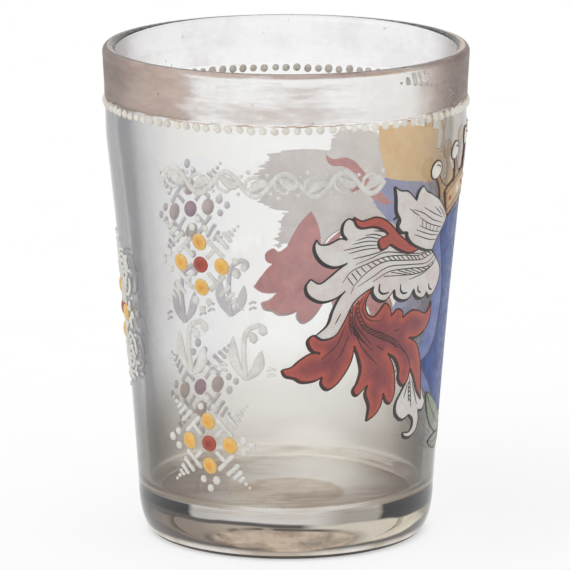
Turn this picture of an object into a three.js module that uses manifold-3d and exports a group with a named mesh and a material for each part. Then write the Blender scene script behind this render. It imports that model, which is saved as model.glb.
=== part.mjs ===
// Enamelled drinking glass: a thick-based tapered tumbler with raised enamel on its outside.
// Millimetres, +Z up. The origin is the centre of the foot, on the plane that it stands on.
// The front faces -Y. Bearings turn from the front towards +X, in degrees.
// Ornament is laid out flat and then wrapped: u runs right round the wall, v runs up it,
// and w stands out from the glass.
import * as THREE from 'three';
import Module from 'manifold-3d';

const wasm = await Module();
wasm.setup();

const degree = Math.PI / 180;

// Glass body
const glassHeight = 110;
const footRadius = 29.3;
const pontilRadius = 13;
const pontilDepth = 0.9;
const heelRadius = 33.06;
const heelHeight = 10.5;
const shoulderRadius = 39.98;
const shoulderDrop = 20;
const wallBow = 0.49;
const collarFlare = 0.24;
const lipFlareDrop = 8.5;
const rimFlare = 0.38;
const lipRadius = 1.35;
const wallThickness = 2.55;
const floorThickness = 9.8;
const floorCornerRadius = 7;
const roundFacets = 60;

// Enamel and gold
const seatGap = 0.2;
const paintThickness = 0.2;
const strokeThickness = 0.4;
const dropRelief = 0.75;
const gildingThickness = 0.1;
const paintClearance = 0.3;
const cutterReach = 2;
const facetStep = 6;
const nearlyLevel = 0.001;

// Gilding and its row of pearls
const gildingDrop = 12.3;
const gildingTopDrop = 3.2;
const pearlCount = 100;
const pearlHeight = 1.85;
const pearlRelief = 0.7;
const giltLineRelief = 0.15;
const gildingClearance = 0.25;

// Radii and levels that follow from the sizes above
const collarRadius = shoulderRadius + collarFlare;
const rimRadius = collarRadius + rimFlare;
const shoulderHeight = glassHeight - shoulderDrop;
const lipFlareHeight = glassHeight - lipFlareDrop;
const lipHeight = glassHeight - lipRadius;
const pearlRowHeight = glassHeight - gildingDrop;

// Places of the motifs on the wall
const sideBearing = -86;
const rosetteOffset = 56.4;
const sprigOffsetInner = 50.4;
const sprigOffsetOuter = 71.8;
const upperRosetteDrop = 43.1;
const lowerRosetteDrop = 83.8;
const sideRosetteDrop = 59;
const sprigDrop = 62;
const friezeBearing = -5;
const friezeDrop = 12;
const armsBearing = 94;
const coronetHeadroom = 3.5;

// Rosettes
const centreDropWidth = 3.6;
const petalDropWidth = 3.4;
const petalDropLength = 3.9;
const petalReach = 5.1;
const petalLean = 25;

// Scrolls beside the side rosette
const scrollCentre = [6.6, 9.4];
const scrollRadius = 3;
const scrollEyeRadius = 1.1;
const scrollTurns = 1.2;
const scrollStroke = 0.8;

// Sprigs
const sprigStem = 1.2;
const sprigLeafWidth = 2.5;
const bellWidth = 2;

// Frieze
const friezeLength = 52;
const friezeWaves = 4;
const friezeSwing = 2.4;
const friezeStem = 1.3;
const friezeLeafWidth = 2.2;
const friezeLeafReach = 5;
const friezeLeafRise = 2;

// Coronet: rays and pearls fan out round a point under the shield's middle
const coronetSink = 29.8;
const coronetBandReach = 54.8;
const coronetBandWidth = 7;
const coronetBandSpread = 21.2;
const coronetPearlReach = 65;
const coronetPearlSpread = 23.6;
const coronetRayCount = 7;
const coronetRayWidth = 2.4;
const coronetPearlSize = 4.1;
const coronetTop = coronetPearlReach + coronetPearlSize / 2 - coronetSink;
const armsHeight = pearlRowHeight - pearlHeight / 2 - coronetHeadroom - coronetTop;

// Shield
const shieldBorder = 1.4;

// Outside radius of the wall at a height
function wallRadius(z) {
  if (z < heelHeight) {
    const drop = Math.min((heelHeight - z) / heelHeight, 1);
    return footRadius + (heelRadius - footRadius) * Math.sqrt(1 - drop * drop);
  }
  if (z < shoulderHeight) {
    const t = (z - heelHeight) / (shoulderHeight - heelHeight);
    return heelRadius + (shoulderRadius - heelRadius) * t - 4 * wallBow * t * (1 - t);
  }
  if (z < lipFlareHeight) {
    const t = (z - shoulderHeight) / (lipFlareHeight - shoulderHeight);
    return shoulderRadius + (collarRadius - shoulderRadius) * t;
  }
  const t = Math.min((z - lipFlareHeight) / (lipHeight - lipFlareHeight), 1);
  return collarRadius + (rimRadius - collarRadius) * t;
}

// Points on an arc from one angle to another, both ends included
function arcPoints(centreR, centreZ, radiusR, radiusZ, from, to, steps) {
  const points = [];
  for (let i = 0; i <= steps; i += 1) {
    const angle = (from + ((to - from) * i) / steps) * degree;
    points.push([centreR + radiusR * Math.cos(angle), centreZ + radiusZ * Math.sin(angle)]);
  }
  return points;
}

// Heights at equal steps between two levels, ends left out
function heightsBetween(low, high, steps) {
  const heights = [];
  for (let i = 1; i < steps; i += 1) heights.push(low + ((high - low) * i) / steps);
  return heights;
}

// Revolves a closed profile of [radius, height] points about +Z
function revolve(profile) {
  const points = profile.map(([radius, height]) => new THREE.Vector2(radius, height));
  return new THREE.LatheGeometry(points, roundFacets).rotateX(Math.PI / 2);
}

// Tumbler: ground pontil, rounded heel, bowed taper, collar, half-round lip and dished corner
function glassBodyGeometry() {
  const innerWall = (z) => wallRadius(z) - wallThickness;
  const cornerZ = floorThickness + floorCornerRadius;
  const cornerR = innerWall(cornerZ) - floorCornerRadius;
  const lipR = rimRadius - lipRadius;
  const pontilBall = (pontilRadius ** 2 + pontilDepth ** 2) / (2 * pontilDepth);
  const pontilHalfAngle = Math.asin(pontilRadius / pontilBall) / degree;
  const pontilZ = pontilDepth - pontilBall;
  const outerTaper = heightsBetween(heelHeight, shoulderHeight, 4);
  const innerTaper = heightsBetween(cornerZ, shoulderHeight, 3).reverse();
  const innerLipR = lipR - lipRadius;
  const profile = [
    ...arcPoints(0, pontilZ, pontilBall, pontilBall, 90, 90 - pontilHalfAngle, 2),
    ...arcPoints(footRadius, heelHeight, heelRadius - footRadius, heelHeight, -90, 0, 4),
    ...outerTaper.map((z) => [wallRadius(z), z]),
    [shoulderRadius, shoulderHeight],
    [collarRadius, lipFlareHeight],
    ...arcPoints(lipR, lipHeight, lipRadius, lipRadius, 0, 180, 6),
    [Math.min(innerLipR, innerWall(lipFlareHeight)), lipFlareHeight],
    [innerWall(shoulderHeight), shoulderHeight],
    ...innerTaper.map((z) => [innerWall(z), z]),
    ...arcPoints(cornerR, cornerZ, floorCornerRadius, floorCornerRadius, 0, -90, 4),
    [0, floorThickness],
  ];
  return revolve(profile);
}

// Gold band lying on the collar, from just above the pearls to the lip
function gildingGeometry() {
  const low = pearlRowHeight + pearlHeight / 2 + gildingClearance;
  const high = glassHeight - gildingTopDrop;
  const heights = [low, lipFlareHeight, high];
  const outside = heights.map((z) => [wallRadius(z) + seatGap + gildingThickness, z]);
  const inside = heights.map((z) => [wallRadius(z) + seatGap, z]).reverse();
  return revolve([...outside, ...inside, outside[0]]);
}

// Ring of pearls: one closed section swept round the collar, swelling at each pearl
function pearlRowGeometry() {
  const pearlColumnCount = 3;
  const columns = pearlCount * pearlColumnCount;
  const positions = [];
  const indices = [];
  const sectionCount = 4;
  for (let column = 0; column < columns; column += 1) {
    const bearing = (column / columns) * 2 * Math.PI;
    const onPearl = column % pearlColumnCount !== 0;
    const half = onPearl ? pearlHeight / 2 : pearlHeight / 5;
    const relief = onPearl ? pearlRelief : giltLineRelief;
    const section = [
      [0, -half],
      [relief, -half * 0.45],
      [relief, half * 0.45],
      [0, half],
    ];
    for (const [w, v] of section) {
      const radius = wallRadius(pearlRowHeight + v) + seatGap + w;
      positions.push(radius * Math.sin(bearing), -radius * Math.cos(bearing), pearlRowHeight + v);
    }
  }
  for (let column = 0; column < columns; column += 1) {
    const here = column * sectionCount;
    const next = ((column + 1) % columns) * sectionCount;
    for (let i = 0; i < sectionCount; i += 1) {
      const j = (i + 1) % sectionCount;
      indices.push(here + i, next + i, next + j, here + i, next + j, here + j);
    }
  }
  const geometry = new THREE.BufferGeometry();
  geometry.setAttribute('position', new THREE.Float32BufferAttribute(positions, 3));
  geometry.setIndex(indices);
  return geometry;
}

// Solid from points and triangles, ready for joins and cuts
function solidOf({ points, triangles }) {
  return new wasm.Manifold(new wasm.Mesh({
    numProp: 3,
    vertProperties: new Float32Array(points.flat()),
    triVerts: new Uint32Array(triangles.flat()),
  }));
}

// Joins solids into one
function join(solids) {
  return solids.reduce((whole, piece) => whole.add(piece));
}

// Points and triangles of a solid, with points closer than the grain drawn together
function facesOf(solid) {
  const { numProp, vertProperties, triVerts } = solid.getMesh();
  const grain = 0.01;
  const points = [];
  const places = new Map();
  const index = [];
  for (let i = 0; i < vertProperties.length; i += numProp) {
    const cells = [...vertProperties.slice(i, i + 3)].map((value) => Math.round(value / grain));
    const key = cells.join(' ');
    if (!places.has(key)) {
      places.set(key, points.length);
      points.push(cells.map((cell) => cell * grain));
    }
    index.push(places.get(key));
  }
  const triangles = [];
  for (let i = 0; i < triVerts.length; i += 3) {
    const [a, b, c] = [...triVerts.slice(i, i + 3)].map((vertex) => index[vertex]);
    if (a !== b && b !== c && c !== a) triangles.push([a, b, c]);
  }
  return { points, triangles };
}

// Smooth curve through points of the unrolled wall
function route(points) {
  return new THREE.SplineCurve(points.map(([u, v]) => new THREE.Vector2(u, v)));
}

// Band laid along a curve between two levels. Stations are [share of the curve, half width].
function band(curve, stations, low, high) {
  const points = [];
  const triangles = [];
  const cornerCount = 4;
  for (const [share, half] of stations) {
    const centre = curve.getPoint(share);
    const along = curve.getTangent(share);
    const left = [centre.x - along.y * half, centre.y + along.x * half];
    const right = [centre.x + along.y * half, centre.y - along.x * half];
    points.push([...left, low], [...left, high], [...right, high], [...right, low]);
  }
  for (let start = 0; start < points.length - cornerCount; start += cornerCount) {
    for (let j = 0; j < cornerCount; j += 1) {
      const k = (j + 1) % cornerCount;
      const next = start + cornerCount;
      triangles.push([start + j, start + k, next + k], [start + j, next + k, next + j]);
    }
  }
  const last = points.length - cornerCount;
  triangles.push([0, 2, 1], [0, 3, 2], [last, last + 1, last + 2], [last, last + 2, last + 3]);
  return solidOf({ points, triangles });
}

// Levels of a piece of paint, or of a cutter that reaches right through it
function levels(grow) {
  return grow > 0 ? [-cutterReach, cutterReach] : [0, paintThickness];
}

// Stroke of even width along points, grown when it serves as a cutter
function stroke(points, width, steps, grow = 0) {
  const stations = [];
  for (let i = 0; i <= steps; i += 1) stations.push([i / steps, width / 2 + grow]);
  return band(route(points), stations, ...levels(grow));
}

// Lobe of a leaf: its width, how blunt its tip is, and its route from root to tip
function lobe(width, bluntness, ...points) {
  return { width, bluntness, points };
}

// Share of a lobe's full width along it: narrow root, full belly, closed tip
function lobeShare(t, bluntness) {
  const root = 0.4;
  const belly = 0.68;
  const tip = 0.04;
  if (t < belly) return root + (1 - root) * Math.sin((t / belly) * (Math.PI / 2));
  const past = (t - belly) / (1 - belly);
  return Math.max((1 - past ** bluntness) ** (1 / bluntness), tip);
}

// A leaf is a fan of lobes joined at their roots, grown when it serves as a cutter
function leaf(lobes, grow = 0) {
  const stepCount = 7;
  return join(lobes.map(({ width, bluntness, points }) => {
    const stations = [];
    for (let i = 0; i <= stepCount; i += 1) {
      const t = Math.sin(((i / stepCount) * Math.PI) / 2);
      stations.push([t, (width / 2) * lobeShare(t, bluntness) + grow]);
    }
    return band(route(points), stations, ...levels(grow));
  }));
}

// Prism between two levels on an outline that runs anticlockwise, with clockwise holes
function prism(contour, holes, low, high) {
  const loops = [contour, ...holes];
  const flat = loops.flat();
  const count = flat.length;
  const points = [low, high].flatMap((w) => flat.map(({ x, y }) => [x, y, w]));
  const triangles = [];
  for (const [a, b, c] of THREE.ShapeUtils.triangulateShape(contour, holes)) {
    triangles.push([c, b, a], [a + count, b + count, c + count]);
  }
  let start = 0;
  for (const loop of loops) {
    for (let i = 0; i < loop.length; i += 1) {
      const from = start + i;
      const to = start + ((i + 1) % loop.length);
      triangles.push([from, to, to + count], [from, to + count, from + count]);
    }
    start += loop.length;
  }
  return { points, triangles };
}

// Round disc, grown when it serves as a cutter
function disc([centreU, centreV], size, grow = 0) {
  const sideCount = 8;
  const radius = size / 2 + grow;
  const outline = [];
  for (let i = 0; i < sideCount; i += 1) {
    const angle = (i / sideCount) * 2 * Math.PI;
    outline.push(new THREE.Vector2(
      centreU + radius * Math.cos(angle),
      centreV + radius * Math.sin(angle),
    ));
  }
  return solidOf(prism(outline, [], ...levels(grow)));
}

// Loops of edges round the top of a flat solid: its outline first, then its holes
function topLoops(solid) {
  const { points, triangles } = facesOf(solid);
  const onTop = (triangle) => triangle.every((vertex) => points[vertex][2] > paintThickness / 2);
  const edges = new Set();
  for (const [a, b, c] of triangles.filter(onTop)) {
    for (const [from, to] of [[a, b], [b, c], [c, a]]) {
      if (!edges.delete(`${to} ${from}`)) edges.add(`${from} ${to}`);
    }
  }
  const following = new Map([...edges].map((edge) => edge.split(' ').map(Number)));
  const loops = [];
  while (following.size > 0) {
    const loop = [];
    let [vertex] = following.keys();
    while (following.has(vertex)) {
      loop.push(new THREE.Vector2(points[vertex][0], points[vertex][1]));
      const next = following.get(vertex);
      following.delete(vertex);
      vertex = next;
    }
    loops.push(plainLoop(loop));
  }
  const area = (loop) => THREE.ShapeUtils.area(loop);
  const outline = loops.reduce((best, loop) => (area(loop) > area(best) ? loop : best));
  return [outline, ...loops.filter((loop) => area(loop) < -paintClearance)];
}

// Leaves out the points of a loop that lie on the line between their neighbours
function plainLoop(loop) {
  const slack = 0.06;
  const kept = [];
  loop.forEach((point, i) => {
    const before = kept.length > 0 ? kept[kept.length - 1] : loop[loop.length - 1];
    const after = loop[(i + 1) % loop.length];
    const chord = after.clone().sub(before);
    const step = point.clone().sub(before);
    const offset = Math.abs(chord.cross(step)) / Math.max(chord.length(), slack);
    if (offset > slack && step.length() > slack) kept.push(point);
  });
  return kept;
}

// Plate of paint with the outline of a flat solid, its holes included
function plate(solid, thickness = paintThickness) {
  const [contour, ...holes] = topLoops(solid);
  return prism(contour, holes, 0, thickness);
}

// Low dome on an oval outline, centred at [u, v] and leaning by some degrees
function dome([centreU, centreV], width, length, lean, relief) {
  const sideCount = 8;
  const shoulder = 0.72;
  const points = [[centreU, centreV, 0], [centreU, centreV, relief]];
  const triangles = [];
  const turn = lean * degree;
  for (const [share, w] of [[1, 0], [shoulder, relief * shoulder]]) {
    for (let i = 0; i < sideCount; i += 1) {
      const angle = (i / sideCount) * 2 * Math.PI;
      const across = (width / 2) * share * Math.cos(angle);
      const along = (length / 2) * share * Math.sin(angle);
      const u = centreU + across * Math.cos(turn) - along * Math.sin(turn);
      const v = centreV + across * Math.sin(turn) + along * Math.cos(turn);
      points.push([u, v, w]);
    }
  }
  for (let i = 0; i < sideCount; i += 1) {
    const j = (i + 1) % sideCount;
    const [outer, outerNext] = [2 + i, 2 + j];
    const [inner, innerNext] = [2 + sideCount + i, 2 + sideCount + j];
    triangles.push([0, outerNext, outer], [outer, outerNext, innerNext]);
    triangles.push([outer, innerNext, inner], [1, inner, innerNext]);
  }
  return { points, triangles };
}

// Splits one triangle where its edges are cut. An edge that isn't cut gives -1.
function splitTriangle([a, b, c], cutOf) {
  const [ab, bc, ca] = [cutOf(a, b), cutOf(b, c), cutOf(c, a)];
  const count = [ab, bc, ca].filter((cut) => cut >= 0).length;
  if (count === 0) return [[a, b, c]];
  if (count === 3) return [[a, ab, ca], [ab, b, bc], [ca, bc, c], [ab, bc, ca]];
  if (count === 1) {
    if (ab >= 0) return [[a, ab, c], [ab, b, c]];
    if (bc >= 0) return [[b, bc, a], [bc, c, a]];
    return [[c, ca, b], [ca, a, b]];
  }
  if (ab < 0) return [[bc, c, ca], [b, bc, ca], [b, ca, a]];
  if (bc < 0) return [[ca, a, ab], [c, ca, ab], [c, ab, b]];
  return [[ab, b, bc], [a, ab, bc], [a, bc, c]];
}

// Splits triangles at a share of each edge, until no edge asks for a cut
function splitEdges(points, triangles, shareOf) {
  const cuts = new Map();
  const cutOf = (a, b) => {
    const [low, high] = a < b ? [a, b] : [b, a];
    const share = shareOf(points[low], points[high]);
    if (share <= 0) return -1;
    const key = `${low} ${high}`;
    if (!cuts.has(key)) {
      cuts.set(key, points.length);
      points.push(points[low].map((value, i) => value + (points[high][i] - value) * share));
    }
    return cuts.get(key);
  };
  let current = triangles;
  let next = current.flatMap((triangle) => splitTriangle(triangle, cutOf));
  while (next.length > current.length) {
    current = next;
    next = current.flatMap((triangle) => splitTriangle(triangle, cutOf));
  }
  return current;
}

// Wraps flat faces onto the wall at a bearing and a height. A turn of -1 mirrors u or v.
function wrap(flat, bearing, height, turnU = 1, turnV = 1) {
  const points = flat.points.map(([u, v, w]) => [turnU * u, turnV * v, w]);
  const mirrored = turnU * turnV < 0;
  const triangles = flat.triangles.map(([a, b, c]) => (mirrored ? [a, c, b] : [a, b, c]));
  const shoulder = shoulderHeight - height;
  const atShoulder = (from, to) => {
    const apart = (from[1] - shoulder) * (to[1] - shoulder) < -nearlyLevel;
    return apart ? (shoulder - from[1]) / (to[1] - from[1]) : 0;
  };
  const byWidth = (from, to) => (Math.abs(from[0] - to[0]) > facetStep ? 0.5 : 0);
  const faces = splitEdges(points, splitEdges(points, triangles, atShoulder), byWidth);
  const positions = [];
  for (const [u, v, w] of points) {
    const wall = wallRadius(height + v);
    const angle = bearing * degree + u / wall;
    const radius = wall + seatGap + w;
    positions.push(radius * Math.sin(angle), -radius * Math.cos(angle), height + v);
  }
  const geometry = new THREE.BufferGeometry();
  geometry.setAttribute('position', new THREE.Float32BufferAttribute(positions, 3));
  geometry.setIndex(faces.flat());
  return geometry;
}

// Enamel of one colour
function enamel(color) {
  return new THREE.MeshStandardMaterial({ color, roughness: 0.35, metalness: 0 });
}

const clearGlass = new THREE.MeshStandardMaterial({
  color: 0xdde2e2, roughness: 0.03, metalness: 0, transparent: true, opacity: 0.35,
});
const wornGold = new THREE.MeshStandardMaterial({
  color: 0xb89b86, roughness: 0.4, metalness: 0.6,
});
const pearlEnamel = enamel(0xe8e4da);
const redDropEnamel = enamel(0xa5412f);
const yellowDropEnamel = enamel(0xdcaa46);
const whiteLineEnamel = enamel(0xd0cec6);
const whiteLeafEnamel = enamel(0xcdcbc6);
const redLeafEnamel = enamel(0x96463c);
const blueEnamel = enamel(0x5f6e9b);
const paleBlueEnamel = enamel(0x8088ab);
const greenEnamel = enamel(0x7d876b);
const goldEnamel = enamel(0xb59a5a);

const glass = new THREE.Group();

// Adds one named piece to the glass
function addPiece(name, geometry, material) {
  const mesh = new THREE.Mesh(geometry, material);
  mesh.name = name;
  glass.add(mesh);
}

addPiece('glass_body', glassBodyGeometry(), clearGlass);
addPiece('rim_gilding', gildingGeometry(), wornGold);
addPiece('pearl_row', pearlRowGeometry(), pearlEnamel);

// Rosettes: a red centre drop and four yellow drops, leaning alike
const frontBearing = sideBearing + rosetteOffset;
const backBearing = sideBearing - rosetteOffset;
const rosettes = [
  ['rosette_upper_front', frontBearing, upperRosetteDrop],
  ['rosette_lower_front', frontBearing, lowerRosetteDrop],
  ['rosette_upper_back', backBearing, upperRosetteDrop],
  ['rosette_lower_back', backBearing, lowerRosetteDrop],
  ['rosette_side', sideBearing, sideRosetteDrop],
];
const petals = [
  ['top', [0, petalReach]],
  ['right', [petalReach, 0]],
  ['bottom', [0, -petalReach]],
  ['left', [-petalReach, 0]],
];
for (const [name, bearing, drop] of rosettes) {
  const height = glassHeight - drop;
  const centre = dome([0, 0], centreDropWidth, centreDropWidth, 0, dropRelief);
  addPiece(`${name}_centre`, wrap(centre, bearing, height), redDropEnamel);
  for (const [side, place] of petals) {
    const petal = dome(place, petalDropWidth, petalDropLength, petalLean, dropRelief);
    addPiece(`${name}_${side}`, wrap(petal, bearing, height), yellowDropEnamel);
  }
}

// Scrolls round the side rosette: a stem that leaves the middle and winds into a spiral
function scroll() {
  const points = [[3.6, 4.2], [3.4, 6.6]];
  const windingCount = 9;
  for (let i = 0; i <= windingCount; i += 1) {
    const share = i / windingCount;
    const radius = scrollRadius + (scrollEyeRadius - scrollRadius) * share;
    const angle = (180 - 360 * scrollTurns * share) * degree;
    points.push([
      scrollCentre[0] + radius * Math.cos(angle),
      scrollCentre[1] + radius * Math.sin(angle),
    ]);
  }
  return plate(stroke(points, scrollStroke, 16), strokeThickness);
}
const scrollPlaces = [
  ['scroll_upper_right', 1, 1],
  ['scroll_upper_left', -1, 1],
  ['scroll_lower_right', 1, -1],
  ['scroll_lower_left', -1, -1],
];
for (const [name, turnU, turnV] of scrollPlaces) {
  const geometry = wrap(scroll(), sideBearing, glassHeight - sideRosetteDrop, turnU, turnV);
  addPiece(name, geometry, whiteLineEnamel);
}

// Sprigs: two leaves and an arching stem with two hanging bells
function sprig() {
  const leaves = leaf([
    lobe(sprigLeafWidth, 1.3, [-0.2, -6.4], [-2.6, -2], [-2.8, 3.4]),
    lobe(sprigLeafWidth, 1.3, [0.2, -6.4], [2.6, -3.6], [3.6, 0.4]),
    lobe(bellWidth, 2.4, [3, 6.3], [3.9, 5.4], [4, 3.6]),
    lobe(bellWidth, 2.4, [0.3, 4.2], [1.6, 3.6], [2, 1.8]),
  ]);
  const stem = stroke([[0, -6.6], [-0.4, 0], [0.4, 4.6], [3.4, 6.2]], sprigStem, 6);
  return plate(leaves.add(stem), strokeThickness);
}
const sprigPlaces = [
  ['sprig_front_outer', sideBearing + sprigOffsetOuter, 1],
  ['sprig_front_inner', sideBearing + sprigOffsetInner, 1],
  ['sprig_back_inner', sideBearing - sprigOffsetInner, -1],
  ['sprig_back_outer', sideBearing - sprigOffsetOuter, -1],
];
for (const [name, bearing, turnU] of sprigPlaces) {
  const geometry = wrap(sprig(), bearing, glassHeight - sprigDrop, turnU);
  addPiece(name, geometry, whiteLineEnamel);
}

// Frieze: a waving stem with a leaf springing from each bend
function frieze() {
  const waveLength = friezeLength / friezeWaves;
  const onStem = (turns) => [
    (turns - friezeWaves / 2) * waveLength,
    friezeSwing * Math.sin(turns * 2 * Math.PI),
  ];
  const points = [];
  const wavePointCount = 4;
  for (let i = 0; i <= friezeWaves * wavePointCount; i += 1) points.push(onStem(i / wavePointCount));
  const leaves = [];
  for (let i = 0; i < friezeWaves * 2; i += 1) {
    const [rootU, rootV] = onStem(i / 2 + 0.12);
    const side = i % 2 === 0 ? -1 : 1;
    leaves.push(lobe(
      friezeLeafWidth,
      1.4,
      [rootU, rootV],
      [rootU + friezeLeafReach * 0.6, rootV + side * friezeLeafRise],
      [rootU + friezeLeafReach, rootV + side * friezeLeafRise * 0.7],
    ));
  }
  const waveStepCount = 6;
  const stem = stroke(points, friezeStem, friezeWaves * waveStepCount);
  return plate(leaf(leaves).add(stem), strokeThickness);
}
const friezeHeight = pearlRowHeight - friezeDrop;
addPiece('frieze_vine', wrap(frieze(), friezeBearing, friezeHeight), whiteLineEnamel);

// Coronet: a curved band with rays, and a pearl on each ray
function coronet(grow = 0) {
  const at = (reach, lean) => [
    reach * Math.sin(lean * degree),
    reach * Math.cos(lean * degree) - coronetSink,
  ];
  const bandPoints = [-1, -0.5, 0, 0.5, 1].map((share) => (
    at(coronetBandReach, share * coronetBandSpread)
  ));
  const pieces = [stroke(bandPoints, coronetBandWidth, 8, grow)];
  for (let i = 0; i < coronetRayCount; i += 1) {
    const lean = ((2 * i) / (coronetRayCount - 1) - 1) * coronetPearlSpread;
    const foot = at(coronetBandReach, lean * 0.9);
    const top = at(coronetPearlReach, lean);
    pieces.push(stroke([foot, top], coronetRayWidth, 1, grow));
    pieces.push(disc(top, coronetPearlSize, grow));
  }
  return join(pieces);
}

// Painted leaves left of the shield, the uppermost layer first
const whiteUpperLeaf = [
  lobe(6.6, 1.3, [-24.4, 12.6], [-30, 18], [-35.4, 23.2], [-39, 27.6]),
  lobe(6.8, 1.3, [-24, 12.6], [-26.5, 17.5], [-29.2, 22], [-30.2, 26.6]),
  lobe(5.6, 1.6, [-23.6, 12.6], [-23.4, 16], [-23.6, 19], [-23.4, 21.6]),
  lobe(4.6, 2, [-24.6, 12.8], [-28.6, 15.8], [-32.8, 18.9], [-36.6, 20.6]),
];
const redSmallLeaf = [
  lobe(3.4, 1.2, [-29.4, 11.8], [-36.8, 16.4], [-42.2, 19.6], [-48.2, 21.6]),
  lobe(2.8, 2, [-33, 13.6], [-36.6, 15], [-40.6, 14.6]),
];
const whiteMainLeaf = [
  lobe(5.8, 2.2, [-20, 9.5], [-36, 13], [-45, 17.4], [-49.6, 20.4]),
  lobe(6.8, 1.6, [-20, 9], [-38, 12.5], [-49, 14], [-56, 16.8]),
  lobe(6.2, 2, [-20, 8.5], [-36, 10], [-47, 6], [-56.4, 6.8]),
  lobe(4, 1.2, [-20, 8], [-35, 8.5], [-45.3, 2.5], [-48, -2], [-52.2, -4.8]),
  lobe(6, 2, [-27, 7.5], [-36, 6.5], [-37.8, 2.5]),
  lobe(6, 2, [-24, 7.5], [-31, 5.5], [-31.8, 1.6]),
  lobe(4.8, 2, [-22, 7.5], [-26, 5], [-26.4, 1.4]),
  lobe(4.4, 2, [-20.5, 8.5], [-21.4, 5], [-22, 1.6]),
];
const redMainLeaf = [
  lobe(5, 2.2, [-41.5, 4], [-42.5, -2], [-46.5, -6.2], [-53.9, -6.4]),
  lobe(5.8, 1.3, [-41.5, 3.5], [-43, -3], [-48.5, -9.6], [-54, -12], [-59.2, -12.2]),
  lobe(4.4, 2, [-41.3, 3], [-41.8, -5], [-44.5, -11.5], [-48.6, -16]),
  lobe(3.8, 2, [-41, 2.5], [-39.5, -6], [-39.3, -12], [-41.2, -18]),
  lobe(6, 1.2, [-40.8, 2.5], [-38, -6], [-36, -14], [-36.2, -19], [-38, -24.5]),
  lobe(4.8, 2, [-40.5, 2.5], [-36, -6], [-33.5, -13], [-33, -21]),
  lobe(4.4, 2, [-40.5, 2], [-35, -3.5], [-30, -8], [-28.6, -13], [-29.4, -17.4]),
  lobe(3.6, 1.2, [-40.5, 2], [-35, -3], [-27.5, -8.5], [-24.3, -15], [-23.4, -19], [-21, -22]),
  lobe(6.8, 1.2, [-40.8, 3], [-38, -2], [-30, -4], [-24.4, -3.2], [-21.8, -0.2]),
  lobe(3, 2, [-36, -2.6], [-37.2, 0.9]),
  lobe(3, 2, [-32, -2.6], [-32.3, -0.5]),
];
const whiteTipLeaf = [
  lobe(5.6, 2, [-26.4, -15.6], [-28, -20], [-28.6, -25.6]),
  lobe(2.8, 1.3, [-26, -16], [-24.6, -22], [-23, -28], [-27, -29.8]),
  lobe(3, 1.2, [-26, -18], [-22.8, -21.6], [-19.8, -22.4]),
];
const baseSpray = [
  lobe(5.4, 1.4, [-1.4, -31.2], [-8, -30.6], [-14, -27], [-18.8, -21.6]),
  lobe(3.6, 1.4, [-2.6, -32], [-9, -34.2], [-15.4, -33.6]),
];

// Right half of the shield's outline from its foot up: a side point, a waist, a flat top
const shieldHalf = [
  [0, -27.4],
  [9, -25.6],
  [17, -21.4],
  [23.2, -13.8],
  [17, -10.2],
  [14.4, -4.7],
  [14.4, 2],
  [17.3, 7.4],
  [19.9, 12],
  [18.4, 16.2],
  [10, 18.2],
  [0, 19],
];
function shieldHalfStroke(side, grow = 0) {
  const points = shieldHalf.map(([u, v]) => [side * u, v]);
  return stroke(points, shieldBorder, 17, grow);
}
function shield() {
  const right = route(shieldHalf).getPoints(17);
  const left = right.slice(1, -1).reverse().map(({ x, y }) => new THREE.Vector2(-x, y));
  return solidOf(prism([...right, ...left], [], ...levels(0)));
}

// Each layer stops short of the ones that lie over it
const mantling = [
  ['white_upper_leaf', whiteUpperLeaf, whiteLeafEnamel],
  ['red_small_leaf', redSmallLeaf, redLeafEnamel],
  ['white_main_leaf', whiteMainLeaf, whiteLeafEnamel],
  ['red_main_leaf', redMainLeaf, redLeafEnamel],
  ['white_tip_leaf', whiteTipLeaf, whiteLeafEnamel],
];
const mirrored = (lobes) => lobes.map(({ width, bluntness, points }) => (
  lobe(width, bluntness, ...points.map(([u, v]) => [-u, v]))
));
let leftCover = coronet(paintClearance);
for (const [name, lobes, material] of mantling) {
  const laid = plate(leaf(lobes).subtract(leftCover));
  addPiece(`${name}_left`, wrap(laid, armsBearing, armsHeight), material);
  addPiece(`${name}_right`, wrap(laid, armsBearing, armsHeight, -1), material);
  leftCover = leftCover.add(leaf(lobes, paintClearance));
}
let cover = leftCover;
for (const [, lobes] of mantling) cover = cover.add(leaf(mirrored(lobes), paintClearance));
addPiece('coronet', wrap(plate(coronet(), strokeThickness), armsBearing, armsHeight), goldEnamel);

// Shield: a border laid round the field
const borderLine = shieldHalfStroke(1).add(shieldHalfStroke(-1));
const borderCutter = shieldHalfStroke(1, paintClearance).add(shieldHalfStroke(-1, paintClearance));
const border = plate(borderLine.subtract(cover));
const field = plate(shield().subtract(borderCutter).subtract(cover));
addPiece('shield_border', wrap(border, armsBearing, armsHeight), paleBlueEnamel);
addPiece('shield_field', wrap(field, armsBearing, armsHeight), blueEnamel);

// Sprays under the shield
const spray = plate(leaf(baseSpray).subtract(leftCover).subtract(borderCutter));
addPiece('base_spray_left', wrap(spray, armsBearing, armsHeight), greenEnamel);
addPiece('base_spray_right', wrap(spray, armsBearing, armsHeight, -1), greenEnamel);

export default glass;
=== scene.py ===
import math
import random
from functools import partialmethod

import bpy
import numpy as np
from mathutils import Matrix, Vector, geometry, noise

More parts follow.
